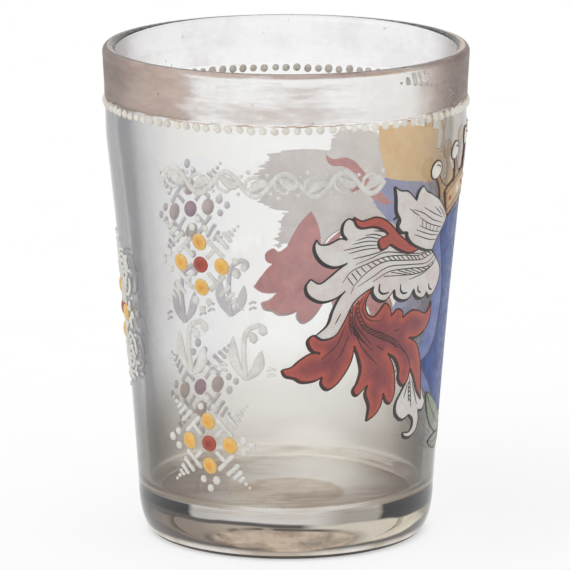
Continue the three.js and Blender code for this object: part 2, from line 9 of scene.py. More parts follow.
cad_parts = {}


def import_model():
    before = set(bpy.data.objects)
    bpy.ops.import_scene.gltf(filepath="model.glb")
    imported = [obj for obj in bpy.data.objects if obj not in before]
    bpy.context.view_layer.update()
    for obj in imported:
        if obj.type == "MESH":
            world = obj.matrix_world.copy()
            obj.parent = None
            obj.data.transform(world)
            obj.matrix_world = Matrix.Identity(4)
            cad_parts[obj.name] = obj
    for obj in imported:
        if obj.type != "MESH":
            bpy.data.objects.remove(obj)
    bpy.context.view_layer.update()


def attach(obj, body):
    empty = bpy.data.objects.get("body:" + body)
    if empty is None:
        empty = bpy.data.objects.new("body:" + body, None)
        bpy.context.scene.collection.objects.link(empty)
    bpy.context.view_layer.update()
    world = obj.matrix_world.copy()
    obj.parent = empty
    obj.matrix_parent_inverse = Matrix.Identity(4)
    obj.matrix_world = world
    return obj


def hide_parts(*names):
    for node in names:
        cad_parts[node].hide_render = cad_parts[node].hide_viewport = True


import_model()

# Enamelled drinking glass. Sizes are in millimetres until a mesh is made, and +Z is up.
# Ornament is laid out flat on the unrolled wall: u runs right round it, v runs up it,
# and w stands out from the glass. Bearings turn from the front, -Y, towards +X.
MM = 0.001
random.seed(7)

# Glass body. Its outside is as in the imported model, and its cup floor a little higher
GLASS_HEIGHT = 110
FOOT_RADIUS = 29.3
HEEL_RADIUS = 33.06
HEEL_HEIGHT = 10.5
SHOULDER_RADIUS = 39.98
SHOULDER_HEIGHT = 90
WALL_BOW = 0.49
COLLAR_RADIUS = 40.22
FLARE_HEIGHT = 101.5
RIM_RADIUS = 40.6
LIP_RADIUS = 1.35
LIP_CENTRE = (RIM_RADIUS - LIP_RADIUS, GLASS_HEIGHT - LIP_RADIUS)
WALL_THICKNESS = 2.55
INNER_WALL_TOP = 106.5
FLOOR_HEIGHT = 10.4
FLOOR_CORNER = 3.4
PONTIL_RADIUS = 13
PONTIL_DEPTH = 0.9
ROUND_STEPS = 288

# Sway of the inside of the cup: how far, on its floor and wall, and up to what height
FLOOR_SWAY = 0.5
WALL_SWAY = 0.10
SWAY_TOP = 100

# Places of the motifs, as bearings and heights
SIDE_BEARING = -86
ROSETTE_OFFSET = 56.4
ROSETTE_UPPER = 66.9
ROSETTE_LOWER = 26.2
ROSETTE_SIDE = 51
SPRIG_INNER = 50.4
SPRIG_OUTER = 71.8
SPRIG_HEIGHT = 48
FRIEZE = (-5, 85.7)
ARMS = (94, 56.025)
ARMS_SIDES = (("left", 1), ("right", -1))
PEARL_ROW = (0, 97.7)
PEARL_COUNT = 100
PEARL_SIZE = 1.85
PEARL_RELIEF = 0.7
PETAL_REACH = 5.1

# Gold: the film's rise over the pearls, the wander of its lower edge, how far its outer and
# inner faces stand out from the glass, and the rise of the gold line
GILDING_RISE = 1.2
GILDING_RAGGED = 0.25
GILDING_FACES = (0.06, 0.02)
GILT_LINE_RISE = 0.95

# Strokes: relief of the white ones, of finer ones, and of ink over what it is drawn on
LINE_RELIEF = 0.36
FINE_RELIEF = 0.34
INK_RELIEF = 0.05
PEN_WIDTH = 0.4
HOOK_WIDTH = 0.75

# Coronet, which fans out from a point below it
CORONET_SINK = 29.8
BAND_REACH = 54.8
BAND_WIDTH = 7
BAND_SPREAD = 21.2
BALL_REACH = 65
BALL_SPREAD = 23.6
BALL_COUNT = 7
BALL_SIZE = 4.1
RAY_HALF_WIDTHS = (1.9, 0.75, 0.6)

# Camera, at the photograph's viewing angle
CAMERA_DISTANCE = 1272.8
CAMERA_ELEVATION = 12.18
CAMERA_LENS = 360.1
CAMERA_TARGET = (0, 0, 54.23)
CAMERA_AIM = (-0.22, 0.23, 55.3)

# Light: a pale sky with one broad soft patch, from the front left and above
SKY_LOW = 0.8
SKY_HIGH = 1.0
SOFT_LIGHT = 0.7
SOFT_LIGHT_WAY = (-0.55, -0.6, 0.6)
SOFT_LIGHT_INNER = 16
SOFT_LIGHT_OUTER = 40


def wall_radius(z):
    """Outside radius of the glass at a height."""
    z = np.asarray(z, float)
    drop = np.clip((HEEL_HEIGHT - z) / HEEL_HEIGHT, 0, 1)
    heel = FOOT_RADIUS + (HEEL_RADIUS - FOOT_RADIUS) * np.sqrt(1 - drop * drop)
    t = (z - HEEL_HEIGHT) / (SHOULDER_HEIGHT - HEEL_HEIGHT)
    taper = HEEL_RADIUS + (SHOULDER_RADIUS - HEEL_RADIUS) * t - 4 * WALL_BOW * t * (1 - t)
    collar = np.interp(z, (SHOULDER_HEIGHT, FLARE_HEIGHT, LIP_CENTRE[1]),
                       (SHOULDER_RADIUS, COLLAR_RADIUS, RIM_RADIUS))
    return np.where(z < HEEL_HEIGHT, heel, np.where(z < SHOULDER_HEIGHT, taper, collar))


def wrapped(flat, place, turn=1):
    """Points (u, v, w) on the wall round a place, as metres. A turn of -1 mirrors u."""
    u, v, w = np.asarray(flat, float).reshape(-1, 3).T
    bearing, height = place
    wall = wall_radius(height + v)
    angle = math.radians(bearing) + turn * u / wall
    radius = wall + w
    return np.stack([radius * np.sin(angle), -radius * np.cos(angle), height + v], 1) * MM


def polar(degrees, reach=1.0):
    """Place at a reach from the origin, turned from +u."""
    angle = math.radians(degrees)
    return reach * np.array([math.cos(angle), math.sin(angle)])


def around(count):
    """Each number below a count with the next one, the last with the first."""
    return [(i, (i + 1) % count) for i in range(count)]


def linear(colour):
    """Colour for a shader, from a screen colour of 0 to 255, or from a grey level of 0 to 1."""
    if not isinstance(colour, tuple):
        return (colour,) * 3 + (1,)
    levels = [c / 255 for c in colour]
    return tuple(c / 12.92 if c < 0.04045 else ((c + 0.055) / 1.055) ** 2.4 for c in levels) + (1,)


# Materials. Places and lengths in their nodes are in metres

class Value:
    """The output of a node, to reckon with like a number. a | b is the greater of the two."""

    def __init__(self, nodes, socket):
        self.nodes, self.socket = nodes, socket

    def reckon(self, operation, other=None):
        return self.nodes.add("Math", {0: self, 1: other}, operation=operation)

    __add__ = partialmethod(reckon, "ADD")
    __sub__ = partialmethod(reckon, "SUBTRACT")
    __mul__ = partialmethod(reckon, "MULTIPLY")
    __truediv__ = partialmethod(reckon, "DIVIDE")
    __or__ = partialmethod(reckon, "MAXIMUM")
    __abs__ = partialmethod(reckon, "ABSOLUTE")

    def __rsub__(self, other):
        return self.nodes.add("Math", {0: other, 1: self}, operation="SUBTRACT")

    def reach(self, other):
        """Distance from the origin, with the other coordinate."""
        return (self * self + other * other).reckon("SQRT")

    def span(self, low, high, start=0.0, end=1.0):
        """Smooth step from start to end while this goes from low to high."""
        levels = {"Value": self, "From Min": low, "From Max": high, "To Min": start, "To Max": end}
        return self.nodes.add("MapRange", levels, interpolation_type="SMOOTHSTEP")

    def between(self, low, full, fade, high):
        """1 from full to fade, and 0 below low and above high."""
        return self.span(low, full) * self.span(fade, high, 1.0, 0.0)

    def ramp(self, *stops):
        """Colours along this. A stop is a level and a screen colour, or a grey level."""
        colours = self.nodes.add("ValToRGB", {"Fac": self})
        elements = colours.socket.node.color_ramp.elements
        while len(elements) < len(stops):
            elements.new(0.5)
        for element, (level, colour) in zip(elements, stops):
            element.position = level
            element.color = linear(colour)
        return colours


class Nodes:
    """The nodes of a material or of the world, with short calls for those that repeat."""

    def __init__(self, owner, coordinates="Object"):
        owner.use_nodes = True
        self.owner = owner
        self.tree = owner.node_tree
        self.shader = self.tree.nodes.get("Principled BSDF")
        self.place = self.add("TexCoord", out=coordinates)

    def feed(self, socket, value):
        """Joins an input to an output, or gives it a value of its own."""
        if isinstance(value, Value):
            self.tree.links.new(value.socket, socket)
        elif value is not None:
            socket.default_value = value

    def add(self, kind, feeds=(), out=0, **settings):
        """One output of a new node, whose inputs are fed by name or number."""
        node = self.tree.nodes.new("ShaderNode" + kind)
        for name, value in settings.items():
            setattr(node, name, value)
        for name, value in dict(feeds).items():
            self.feed(node.inputs[name], value)
        return Value(self, node.outputs[out])

    def axes(self):
        """The three coordinates of the place."""
        split = self.add("SeparateXYZ", {"Vector": self.place}).socket.node
        return [Value(self, socket) for socket in split.outputs]

    def noise(self, scale, detail=3, roughness=0.5, stretch=None):
        place = self.place
        if stretch:
            place = self.add("Mapping", {"Vector": place, "Scale": stretch})
        return self.add("TexNoise", {"Vector": place, "Scale": scale, "Detail": detail,
                                     "Roughness": roughness})

    def blend(self, share, first, second, mode="MIX"):
        """The second colour over the first, by a share."""
        first, second = (linear(c) if isinstance(c, tuple) else c for c in (first, second))
        return self.add("Mix", {0: share, 6: first, 7: second}, 2, data_type="RGBA",
                        blend_type=mode)

    def bump(self, height, distance, strength):
        normal = self.add("Bump", {"Height": height, "Distance": distance, "Strength": strength})
        self.feed(self.shader.inputs["Normal"], normal)

    def rays(self, kind, *others):
        """1 for rays of the named kinds, and 0 for the rest."""
        total = self.add("LightPath", out=f"Is {kind} Ray")
        return total | self.rays(*others) if others else total

    def cover(self, share, other):
        """Puts another shader over the main one, by a share."""
        main = Value(self, self.shader.outputs["BSDF"])
        mixed = self.add("MixShader", {0: share, 1: main, 2: other})
        self.feed(self.tree.nodes["Material Output"].inputs["Surface"], mixed)

    def finish(self, **values):
        """Feeds the main shader, and gives back the material."""
        for name, value in values.items():
            self.feed(self.shader.inputs[name.replace("_", " ")], value)
        return self.owner


def new_material(name):
    return Nodes(bpy.data.materials.new(name))


def enamel(name, base, tint, edge=None, roughness=0.32, grain=500, shade=0.82, gloss=0.5):
    """Fired enamel: a base colour clouded with a tint, and another colour towards its edges."""
    n = new_material(name)
    colour = n.blend(n.noise(220, 4, 0.6).ramp((0.38, 0.0), (0.66, 1.0)), base, tint)
    if edge:
        inset = n.add("Attribute", out="Fac", attribute_name="inset")
        colour = n.blend(inset.ramp((0.0, 1.0), (1.0, 0.0)), colour, edge)
    speck = n.noise(grain * 3, 5, 0.7).ramp((0.3, shade), (0.55, 1.0))
    n.bump(n.noise(grain, 4, 0.6), 0.00004, 0.5)
    return n.finish(
        Base_Color=n.blend(1.0, colour, speck, "MULTIPLY"), Specular_IOR_Level=gloss,
        Roughness=n.noise(grain, 2).ramp((0.3, roughness - 0.07), (0.7, roughness + 0.1)))


def glass_material():
    """Old glass, with painted light, shade and reflections: greyer where it is seen edge-on, browner
    below, and dark at the base's sides.
    """
    n = new_material("clear_glass")
    x, y, z = n.axes()
    facing = n.add("LayerWeight", out="Facing")
    wander = (n.noise(55) - 0.5) * 0.0016
    level = z + wander

    # Heel, painted with what it would refract and reflect: brown at the left and cream at the right,
    # darker where it is seen edge-on
    heel_left = facing.ramp((0.0, (204, 184, 162)), (0.26, (112, 96, 82)), (0.6, (66, 58, 50)),
                            (0.9, (24, 23, 22)))
    heel_right = facing.ramp((0.0, (252, 248, 236)), (0.28, (252, 247, 226)),
                             (0.6, (236, 228, 194)), (0.9, (60, 57, 52)))
    heel = n.blend((x + wander).span(-0.004, 0.008), heel_left, heel_right)

    # Band over the heel, with painted reflections: light in the middle, with a dark block at each
    # side
    light = n.blend(x.span(-0.020, -0.008), (188, 188, 190), (246, 247, 248))
    light = n.blend(x.span(0.005, 0.014), light, (150, 147, 140))
    band = n.blend(facing.span(0.25, 0.29), light, (6, 6, 7))
    seam = level + facing.span(0.30, 0.45, 0.0, 0.0007)
    outer = n.blend(seam.span(0.0079, 0.0084), heel, band)

    # Oval image of the foot, painted on the heel as it would be refracted, with painted dark breaks
    # round it. square_on is the facing cosine at the middle
    square_on = z * 35.0 + 0.715
    turned = (1.0 - facing) / square_on
    across = (1.0 - turned * turned) / 0.30
    upward = (level - 0.0047) / 0.0035
    oval = across + upward * upward
    mottle = n.noise(170, 5, 0.65, (1, 1, 2.5)).ramp(
        (0.40, (228, 198, 166)), (0.54, (166, 134, 108)), (0.64, (92, 72, 58)))
    outer = n.blend(oval.span(0.8, 1.0, 0.9, 0.0), outer, mottle)
    broken = n.noise(95).span(0.40, 0.54, 0.2, 1.0) * x.span(0.007, 0.016, 1.0, 0.45)
    outer = n.blend(oval.between(0.7, 0.86, 1.0, 1.25) * broken, outer, (40, 33, 28))

    # Painted shade: a dark line under the band, and a dark edge of the foot
    underline = level.between(0.0075, 0.0080, 0.0085, 0.0090) * x.span(0.003, 0.008, 1.0, 0.1)
    foot_edge = (level + wander - facing * 0.006).span(0.0006, 0.0016, 1.0, 0.0)
    outer = n.blend(underline | foot_edge, outer, (34, 32, 31))

    # From inside the glass and underneath, the base is clear
    clear = z.span(0.0001, 0.0003, 1.0, 0.0) | n.add("NewGeometry", out="Backfacing")
    outer = n.blend(clear, outer, (250, 247, 241))

    # Cup floor, painted brown-grey with the shaded floor seen through it, and with a painted
    # highlight as its lighter part
    glow = (x - 0.007).reach(y - 0.007).span(0.003, 0.024, 0.34, 0.0)
    cup = (n.noise(42, 4, 0.6, (1, 2.6, 1)) - glow).ramp(
        (0.34, (255, 254, 250)), (0.46, (226, 216, 204)), (0.60, (168, 150, 132)))
    base = n.blend(x.reach(y).span(0.0312, 0.0318), cup, outer)

    # Wall, from its lower part to the collar, painted greyer where it is seen edge-on, darkest at
    # the left and browner low down as reflections of its surroundings, with a painted patch of light
    # on the lower part and a painted highlight line round its foot
    wall_left = facing.ramp((0.0, (249, 249, 248)), (0.26, (236, 236, 236)),
                            (0.41, (214, 214, 215)), (0.55, (168, 168, 171)),
                            (0.66, (96, 96, 100)), (0.82, (48, 48, 52)))
    wall_right = facing.ramp((0.0, (249, 249, 248)), (0.26, (238, 236, 232)),
                             (0.45, (216, 210, 198)), (0.66, (140, 132, 118)),
                             (0.85, (90, 84, 74)))
    wall_low = facing.ramp((0.0, (230, 227, 222)), (0.3, (194, 189, 182)),
                           (0.48, (132, 127, 120)), (0.64, (72, 68, 62)), (0.9, (40, 38, 34)))
    collar = facing.ramp((0.0, (249, 249, 250)), (0.5, (242, 242, 243)), (0.9, (214, 211, 208)))
    # Painted patch of light on the lower wall
    lit = (x - 0.0065).reach((z - 0.0160 + y * 0.14) * 1.9)
    wall_low = n.blend(lit.span(0.002, 0.013, 0.75, 0.0), wall_low, (253, 252, 248))
    wall_high = n.blend(x.span(0.004, 0.022), wall_left, wall_right)
    wall = n.blend(z.span(0.022, 0.038), wall_low, wall_high)
    wall = n.blend(z.span(0.0968, 0.0985), wall, collar)
    # Painted highlight: a pale line round the foot of the wall
    highlight_line = z.between(0.0116, 0.0119, 0.0124, 0.0128)
    wall = n.blend(highlight_line * 0.6, wall, (250, 247, 238))

    # Shadow and diffuse rays go straight through, so that the enamel is lit from within
    n.cover(n.rays("Shadow", "Diffuse"), n.add("BsdfTransparent", {"Color": linear(0.94)}))
    body = n.add("VolumeAbsorption", {"Color": linear((216, 204, 190)), "Density": 5.0})
    n.feed(n.tree.nodes["Material Output"].inputs["Volume"], body)
    n.bump(n.noise(26, 2, 0.4), 0.0006, 0.35)
    return n.finish(Base_Color=n.blend(z.span(0.0112, 0.0118), base, wall), Roughness=0.0,
                    IOR=1.5, Transmission_Weight=1.0)


def foot_material():
    """Ground underside of the foot: rough, rubbed and stained, with painted shade that darkens it
    towards its sides and round its rim.
    """
    n = new_material("worn_foot_painted_shade")
    x, y, _ = n.axes()
    stain = n.noise(120, 5, 0.65).ramp((0.42, 0.0), (0.62, 1.0))
    disc = n.blend(stain, (236, 226, 210), (196, 176, 156))
    ring = n.blend(n.noise(40).span(0.4, 0.6), (242, 242, 240), (228, 224, 216))
    colour = n.blend(x.reach(y).span(0.0120, 0.0134), disc, ring)
    # Painted shade towards the left and right sides
    colour = n.blend(abs(x - 0.002).span(0.010, 0.026, 0.0, 0.85), colour, (146, 130, 114))
    # Painted shade round the rim, where it is seen from outside
    outside = 1.0 - n.add("NewGeometry", out="Backfacing")
    colour = n.blend(x.reach(y).span(0.0284, 0.0292) * outside, colour, (84, 78, 72))
    return n.finish(Base_Color=colour, Roughness=n.noise(300).ramp((0.3, 0.35), (0.7, 0.6)),
                    IOR=1.5, Specular_IOR_Level=0.2)


def gilding_material():
    """Worn gold: a brown film at the left and right, rubbed to a pale haze with specks between, and
    painted shade where the band turns away at its sides.
    """
    n = new_material("worn_gold")
    x, y, z = n.axes()
    streaks = n.noise(60, 5, 0.6, (1, 1, 3.2))
    wander = n.noise(150) * 0.006
    brush_marks = n.noise(75, 4, 0.6, (1, 1, 6)) * 0.012
    left = (x + (wander + brush_marks)).span(-0.0170, -0.0065, 0.88, 0.0)
    right = (x + wander).span(0.026, 0.042, 0.0, 0.8)
    haze = n.noise(38, 4, 0.65, (1, 1, 5)).span(0.42, 0.66, 0.05, 0.42)
    haze = haze * x.span(0.006, 0.018, 1.0, 0.5)
    front = y.span(-0.006, 0.032, 1.0, 0.08)
    lip = z.span(0.1086, 0.1096) * n.noise(90, 4).span(0.3, 0.6, 0.3, 0.85)
    body = (left | right | haze) * front | lip
    patches = n.noise(95, 4, 0.6).ramp((0.45, 0.05), (0.7, 0.18))
    cover = (body | patches) * streaks.span(0.3, 0.62, 0.66, 1.0)
    specks = n.noise(420, 4, 0.75).ramp((0.65, 0.0), (0.72, 0.5))
    colour = streaks.ramp((0.3, (170, 146, 133)), (0.65, (200, 182, 172)))
    # Painted shade towards the sides, where the band turns away
    colour = n.blend(abs(x).span(0.030, 0.038, 0.0, 0.8), colour, (128, 112, 104))
    colour = n.blend(body.ramp((0.1, 1.0), (0.5, 0.0)), colour, (222, 218, 214))
    colour = n.blend(specks.ramp((0.1, 0.0), (0.4, 1.0)), colour, (150, 124, 98))
    return n.finish(Base_Color=colour, Metallic=0.15, Roughness=0.45, Alpha=cover | specks)


def gilt_line_material():
    """Thin gold line, worn away over much of its length."""
    n = new_material("gilt_line")
    worn = n.noise(70, 4, 0.6).ramp((0.46, 0.0), (0.64, 0.75))
    front = n.axes()[1].span(-0.004, 0.01, 1.0, 0.1)
    colour = n.noise(180).ramp((0.3, (196, 158, 112)), (0.7, (176, 124, 76)))
    return n.finish(Base_Color=colour, Metallic=0.3, Roughness=0.4, Alpha=worn * front)


def floor_material():
    """Pale floor that shows white where it is seen, and keeps half of the shadow on it."""
    n = new_material("pale_floor")
    n.cover(n.rays("Camera", "Glossy", "Transmission") * 0.5, n.add("Emission"))
    colour = n.noise(40).ramp((0.3, (250, 250, 250)), (0.7, (252, 252, 252)))
    return n.finish(Base_Color=colour, Roughness=0.9, Specular_IOR_Level=0.0)


GLASS = glass_material()
FOOT = foot_material()
GILDING = gilding_material()
GILT = gilt_line_material()
FLOOR = floor_material()

# Enamels. Each reverse is what shows of the paint through the glass, most of them painted lighter
# than the paint for the light that comes through the thin enamel
PEARL = enamel("pearl_enamel", (224, 220, 210), (206, 200, 188), shade=0.9)
PEARL_BACK = enamel("pearl_reverse", (212, 205, 194), (188, 180, 168))
RED_DROP = enamel("red_drop_enamel", (150, 58, 46), (126, 42, 36), (172, 84, 64), 0.16)
YELLOW_DROP = enamel("yellow_drop_enamel", (224, 162, 54), (208, 136, 42), (222, 186, 112), 0.16)
DROP_BACK = enamel("drop_reverse", (232, 220, 212), (212, 194, 184), shade=0.92)
RED_DROP_BACK = enamel("red_drop_reverse", (204, 170, 184), (186, 150, 168), shade=0.92)
LINE = enamel("white_line_enamel", (216, 214, 209), (200, 198, 192))
LINE_BACK = enamel("white_line_reverse", (247, 247, 249), (236, 236, 240), shade=0.97)
WHITE = enamel("white_leaf_enamel", (208, 205, 200), (202, 190, 186), shade=0.92)
WHITE_BACK = enamel("white_leaf_reverse", (236, 232, 229), (226, 219, 215), shade=0.95)
RED = enamel("red_leaf_enamel", (142, 72, 72), (126, 60, 64), (178, 86, 70))
RED_BACK = enamel("red_leaf_reverse", (218, 148, 144), (198, 134, 134), grain=260, shade=0.84)
BLUE = enamel("blue_enamel", (66, 88, 146), (52, 70, 124), gloss=0.12)
PALE_BLUE = enamel("pale_blue_enamel", (122, 132, 176), (104, 114, 160), gloss=0.12)
BLUE_BACK = enamel("blue_reverse", (160, 168, 212), (146, 154, 202), shade=0.92)
GREEN = enamel("green_enamel", (126, 138, 112), (110, 120, 98))
GOLD = enamel("gold_enamel", (196, 164, 104), (164, 130, 82), (150, 112, 70))
GOLD_WASH = enamel("gold_wash_enamel", (222, 204, 164), (212, 190, 146))
GOLD_BACK = enamel("gold_reverse", (248, 214, 158), (242, 200, 136), shade=0.92)
INK = enamel("ink_enamel", (56, 54, 54), (44, 40, 40), roughness=0.4)
BROWN_INK = enamel("brown_ink_enamel", (74, 46, 42), (60, 40, 38), roughness=0.4)
DARK_BLUE = enamel("dark_blue_enamel", (52, 60, 100), (44, 52, 88), roughness=0.4)
INK_BACK = enamel("ink_reverse", (204, 192, 190), (192, 178, 178), shade=0.92)


# Curves and outlines

def smooth_curve(points, step=0.35):
    """Catmull-Rom curve through points, both ends included, as points about a step apart."""
    p = np.asarray(points, float)
    padded = np.vstack([2 * p[0] - p[1], p, 2 * p[-1] - p[-2]])
    curve = []
    for a, b, c, d in zip(padded, padded[1:], padded[2:], padded[3:]):
        count = max(int(np.linalg.norm(c - b) / step), 1)
        t = np.arange(count)[:, None] / count
        bend = (2 * a - 5 * b + 4 * c - d) * t ** 2 + (3 * b - a - 3 * c + d) * t ** 3
        curve.extend(0.5 * (2 * b + (c - a) * t + bend))
    return np.vstack([curve, p[-1]])


def joined(runs, corner, step):
    """A smooth curve for each run, which starts at the corner where the last one ended."""
    curves = []
    for run in runs:
        curves.append(smooth_curve([corner, *run], step))
        corner = run[-1]
    return curves


def closed_outline(runs):
    """Outline from smooth runs between sharp corners."""
    return np.vstack([curve[:-1] for curve in joined(runs, runs[-1][-1], 0.35)])


def both_halves(runs):
    """Outline from the runs of its right half, from foot to top, and their mirror image."""
    corner, *first = runs[0]
    right = np.vstack([corner, *[c[1:] for c in joined([first, *runs[1:]], corner, 0.4)]])
    return np.vstack([right, right[1:-1][::-1] * (-1, 1)])


def sideways(curve, closed=False):
    """Unit vectors to the left of a curve, at each of its points."""
    along = np.roll(curve, -1, 0) - np.roll(curve, 1, 0) if closed else np.gradient(curve, axis=0)
    along = along / np.maximum(np.linalg.norm(along, axis=1), 1e-9)[:, None]
    return np.column_stack([-along[:, 1], along[:, 0]])


def distance_to(outline, places):
    """Distance from each place to a closed outline."""
    nearest = np.full(len(places), 1e9)
    for start, end in zip(outline, np.roll(outline, -1, 0)):
        along = end - start
        t = np.clip((places - start) @ along / max(along @ along, 1e-12), 0, 1)
        nearest = np.minimum(nearest, np.linalg.norm(places - start - t[:, None] * along, axis=1))
    return nearest


def inside(outline, places):
    """True for each place within a closed outline."""
    x, y = places.T
    within = np.zeros(len(places), bool)
    for (x0, y0), (x1, y1) in zip(outline, np.roll(outline, -1, 0)):
        crosses = (y0 > y) != (y1 > y)
        with np.errstate(divide="ignore", invalid="ignore"):
            within ^= crosses & (x < x0 + (y - y0) * (x1 - x0) / (y1 - y0))
    return within


def leaf_outline(spine, width, bluntness=1.6, root=0.3, belly=0.6):
    """Outline of a leaf along a spine from its root, widest where the belly is."""
    curve = smooth_curve(spine, 0.5)
    t = np.linspace(0, 1, len(curve))
    swell = root + (1 - root) * np.sin(np.clip(t / belly, 0, 1) * math.pi / 2)
    past = np.clip((t - belly) / (1 - belly), 0, 1)
    half = width / 2 * np.where(t < belly, swell, (1 - past ** bluntness) ** (1 / bluntness))
    offset = sideways(curve) * np.maximum(half, 0.03)[:, None]
    return np.vstack([curve + offset, (curve - offset)[::-1]])


def spiral(centre, outer, inner, turns, start):
    """Points on a spiral that winds in clockwise round a centre."""
    shares = np.linspace(0, 1, int(10 * turns) + 2)
    return [centre + polar(start - 360 * turns * s, outer + (inner - outer) * s) for s in shares]


def brushed(outline, reach, spacing=0.16):
    """The same outline with the uneven edge that strokes across it leave."""
    closed = np.vstack([outline, outline[:1]])
    along = np.concatenate([[0], np.cumsum(np.hypot(*np.diff(closed, axis=0).T))])
    at = np.arange(0, along[-1], spacing)
    u, v = (np.interp(at, along, closed[:, axis]) for axis in (0, 1))
    shift = [reach * noise.noise(Vector((2.4 * b, 0.15 * a, 3.0))) for a, b in zip(u, v)]
    return np.stack([u + np.array(shift), v], axis=1)


# Meshes

def add_mesh(name, points, faces, materials, slots=(), inset=()):
    """A smooth object from points in metres. inset is a level from 0 to 1 at each point."""
    mesh = bpy.data.meshes.new(name)
    mesh.from_pydata([tuple(p) for p in points], [], faces)
    for material in materials:
        mesh.materials.append(material)
    if len(slots):
        mesh.polygons.foreach_set("material_index", slots)
        mesh.attributes.new("inset", "FLOAT", "POINT").data.foreach_set("value", inset)
    mesh.polygons.foreach_set("use_smooth", [True] * len(mesh.polygons))
    mesh.update()
    obj = bpy.data.objects.new(name, mesh)
    bpy.context.scene.collection.objects.link(obj)
    return obj


def finish_piece(obj, slot, *nodes):
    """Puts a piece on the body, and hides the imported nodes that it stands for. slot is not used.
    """
    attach(obj, "root")
    if nodes:
        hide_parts(*nodes)


class Pile:
    """Several small solids gathered into one mesh, still flat."""

    def __init__(self):
        self.points, self.faces, self.slots, self.inset = [], [], [], []

    def add(self, points, faces, slots, inset):
        start = len(self.points)
        self.points.extend(points)
        self.faces.extend(tuple(start + i for i in f) for f in faces)
        self.slots.extend(slots)
        self.inset.extend(inset)

    def make(self, name, place, materials, slot, *nodes, turn=1):
        """A piece from the pile, wrapped on the wall. A turn of -1 mirrors it."""
        faces = [f[::turn] for f in self.faces]
        points = wrapped(self.points, place, turn)
        obj = add_mesh(name, points, faces, materials, self.slots, self.inset)
        finish_piece(obj, slot, *nodes)


def add_plate(pile, outline, thickness, depth, edge=0.14, spacing=0.7, fade=2.2):
    """Layer of paint with rounded edges on an outline. depth is how far it lies in the glass."""
    low, high = outline.min(0), outline.max(0)
    us = np.arange(low[0], high[0], spacing)
    rows = enumerate(np.arange(low[1], high[1], spacing * 0.866))
    grid = np.array([(u + (i % 2) * spacing / 2, v) for i, v in rows for u in us])
    grid = grid[inside(outline, grid)]
    grid = grid[distance_to(outline, grid) > edge + spacing * 0.35]
    for shift in (-edge, edge):
        ring = outline + shift * sideways(outline, closed=True)
        ring = ring[inside(outline, ring)]
        grid = np.vstack([grid, ring[distance_to(outline, ring) > edge * 0.8]])
    places = [Vector(p) for p in (*outline, *grid)]
    places, _, faces, *_ = geometry.delaunay_2d_cdt(places, around(len(outline)), [], 1, 1e-5,
                                                    False)
    flat = np.array([tuple(p) for p in places])
    count = len(flat)
    middles = np.array([flat[list(f)].mean(0) for f in faces])
    faces = [tuple(f) for f, within in zip(faces, inside(outline, middles)) if within]
    pairs = dict.fromkeys(pair for f in faces for pair in zip(f, f[1:] + f[:1]))
    sides = [(j, i, i + count, j + count) for i, j in pairs if (j, i) not in pairs]
    under = [tuple(i + count for i in f[::-1]) for f in faces]
    off = distance_to(outline, flat)
    rise = thickness * np.sqrt(1 - (1 - np.clip(off / edge, 0, 1)) ** 2)
    top = np.column_stack([flat, np.maximum(rise, 0.02)])
    bottom = np.column_stack([flat, np.full(count, -depth)])
    pile.add([*top, *bottom], faces + under + sides,
             [0] * len(faces) + [1] * (len(under) + len(sides)), [*np.clip(off / fade, 0, 1)] * 2)


def add_stroke(pile, curve, widths, height, depth=0.05):
    """Raised line along a curve. widths is one width, or one for each point of the curve."""
    curve = np.asarray(curve, float)
    widths = np.broadcast_to(np.asarray(widths, float), (len(curve),))
    section = [(1, -depth), (1, height * 0.35), (0.55, height * 0.9), (0, height),
               (-0.55, height * 0.9), (-1, height * 0.35), (-1, -depth)]
    points = [(*(place + side * share * width / 2), w)
              for place, side, width in zip(curve, sideways(curve), widths)
              for share, w in section]
    k = len(section)
    last = len(points) - k
    faces = [(s + j, s + k + j, s + k + i, s + i) for s in range(0, last, k) for i, j in around(k)]
    slots = [1 if f % k == k - 1 else 0 for f in range(last)] + [0, 0]
    faces += [tuple(range(k))[::-1], tuple(range(last, last + k))]
    pile.add(points, faces, slots, [1.0] * len(points))


def pen(pile, points, width, height, taper=0.35, depth=-0.02):
    """Pen line that swells from fine ends to its full width."""
    curve = smooth_curve(points, 0.3)
    t = np.linspace(0, 1, len(curve))
    swell = taper + (1 - taper) * np.sin(np.pi * np.clip(t * 0.96 + 0.02, 0, 1)) ** 0.6
    add_stroke(pile, curve, width * swell, height, depth)


def add_dome(pile, centre, width, length, lean, relief, sides=20, rings=5, slot=0, depth=0.08):
    """Drop of enamel on an oval outline, leaning by some degrees. Its underside has slot + 1."""
    quarter = [math.pi / 2 * i / rings for i in range(rings)]
    levels = [(1.0, -depth)] + [(math.cos(q), relief * math.sin(q)) for q in quarter]
    right, up = polar(lean, width / 2), polar(lean + 90, length / 2)
    points = [(*(centre + share * (right * c + up * s)), w) for share, w in levels
              for c, s in (polar(360 * i / sides) for i in range(sides))]
    inset = [1 - share for share, _ in levels for _ in range(sides)] + [1.0, 0.5]
    top = len(points)
    points += [(*centre, relief), (*centre, -depth)]
    ring = around(sides)
    faces = [(a + i, a + j, a + sides + j, a + sides + i)
             for a in range(0, top - sides, sides) for i, j in ring]
    faces += [(top - sides + i, top - sides + j, top) for i, j in ring]
    slots = [slot] * len(faces) + [slot + 1] * sides
    faces += [(j, i, top + 1) for i, j in ring]
    pile.add(points, faces, slots, inset)


def dot(pile, centre, size, relief, sides=12):
    add_dome(pile, centre, size, size, 0, relief, sides, rings=3)


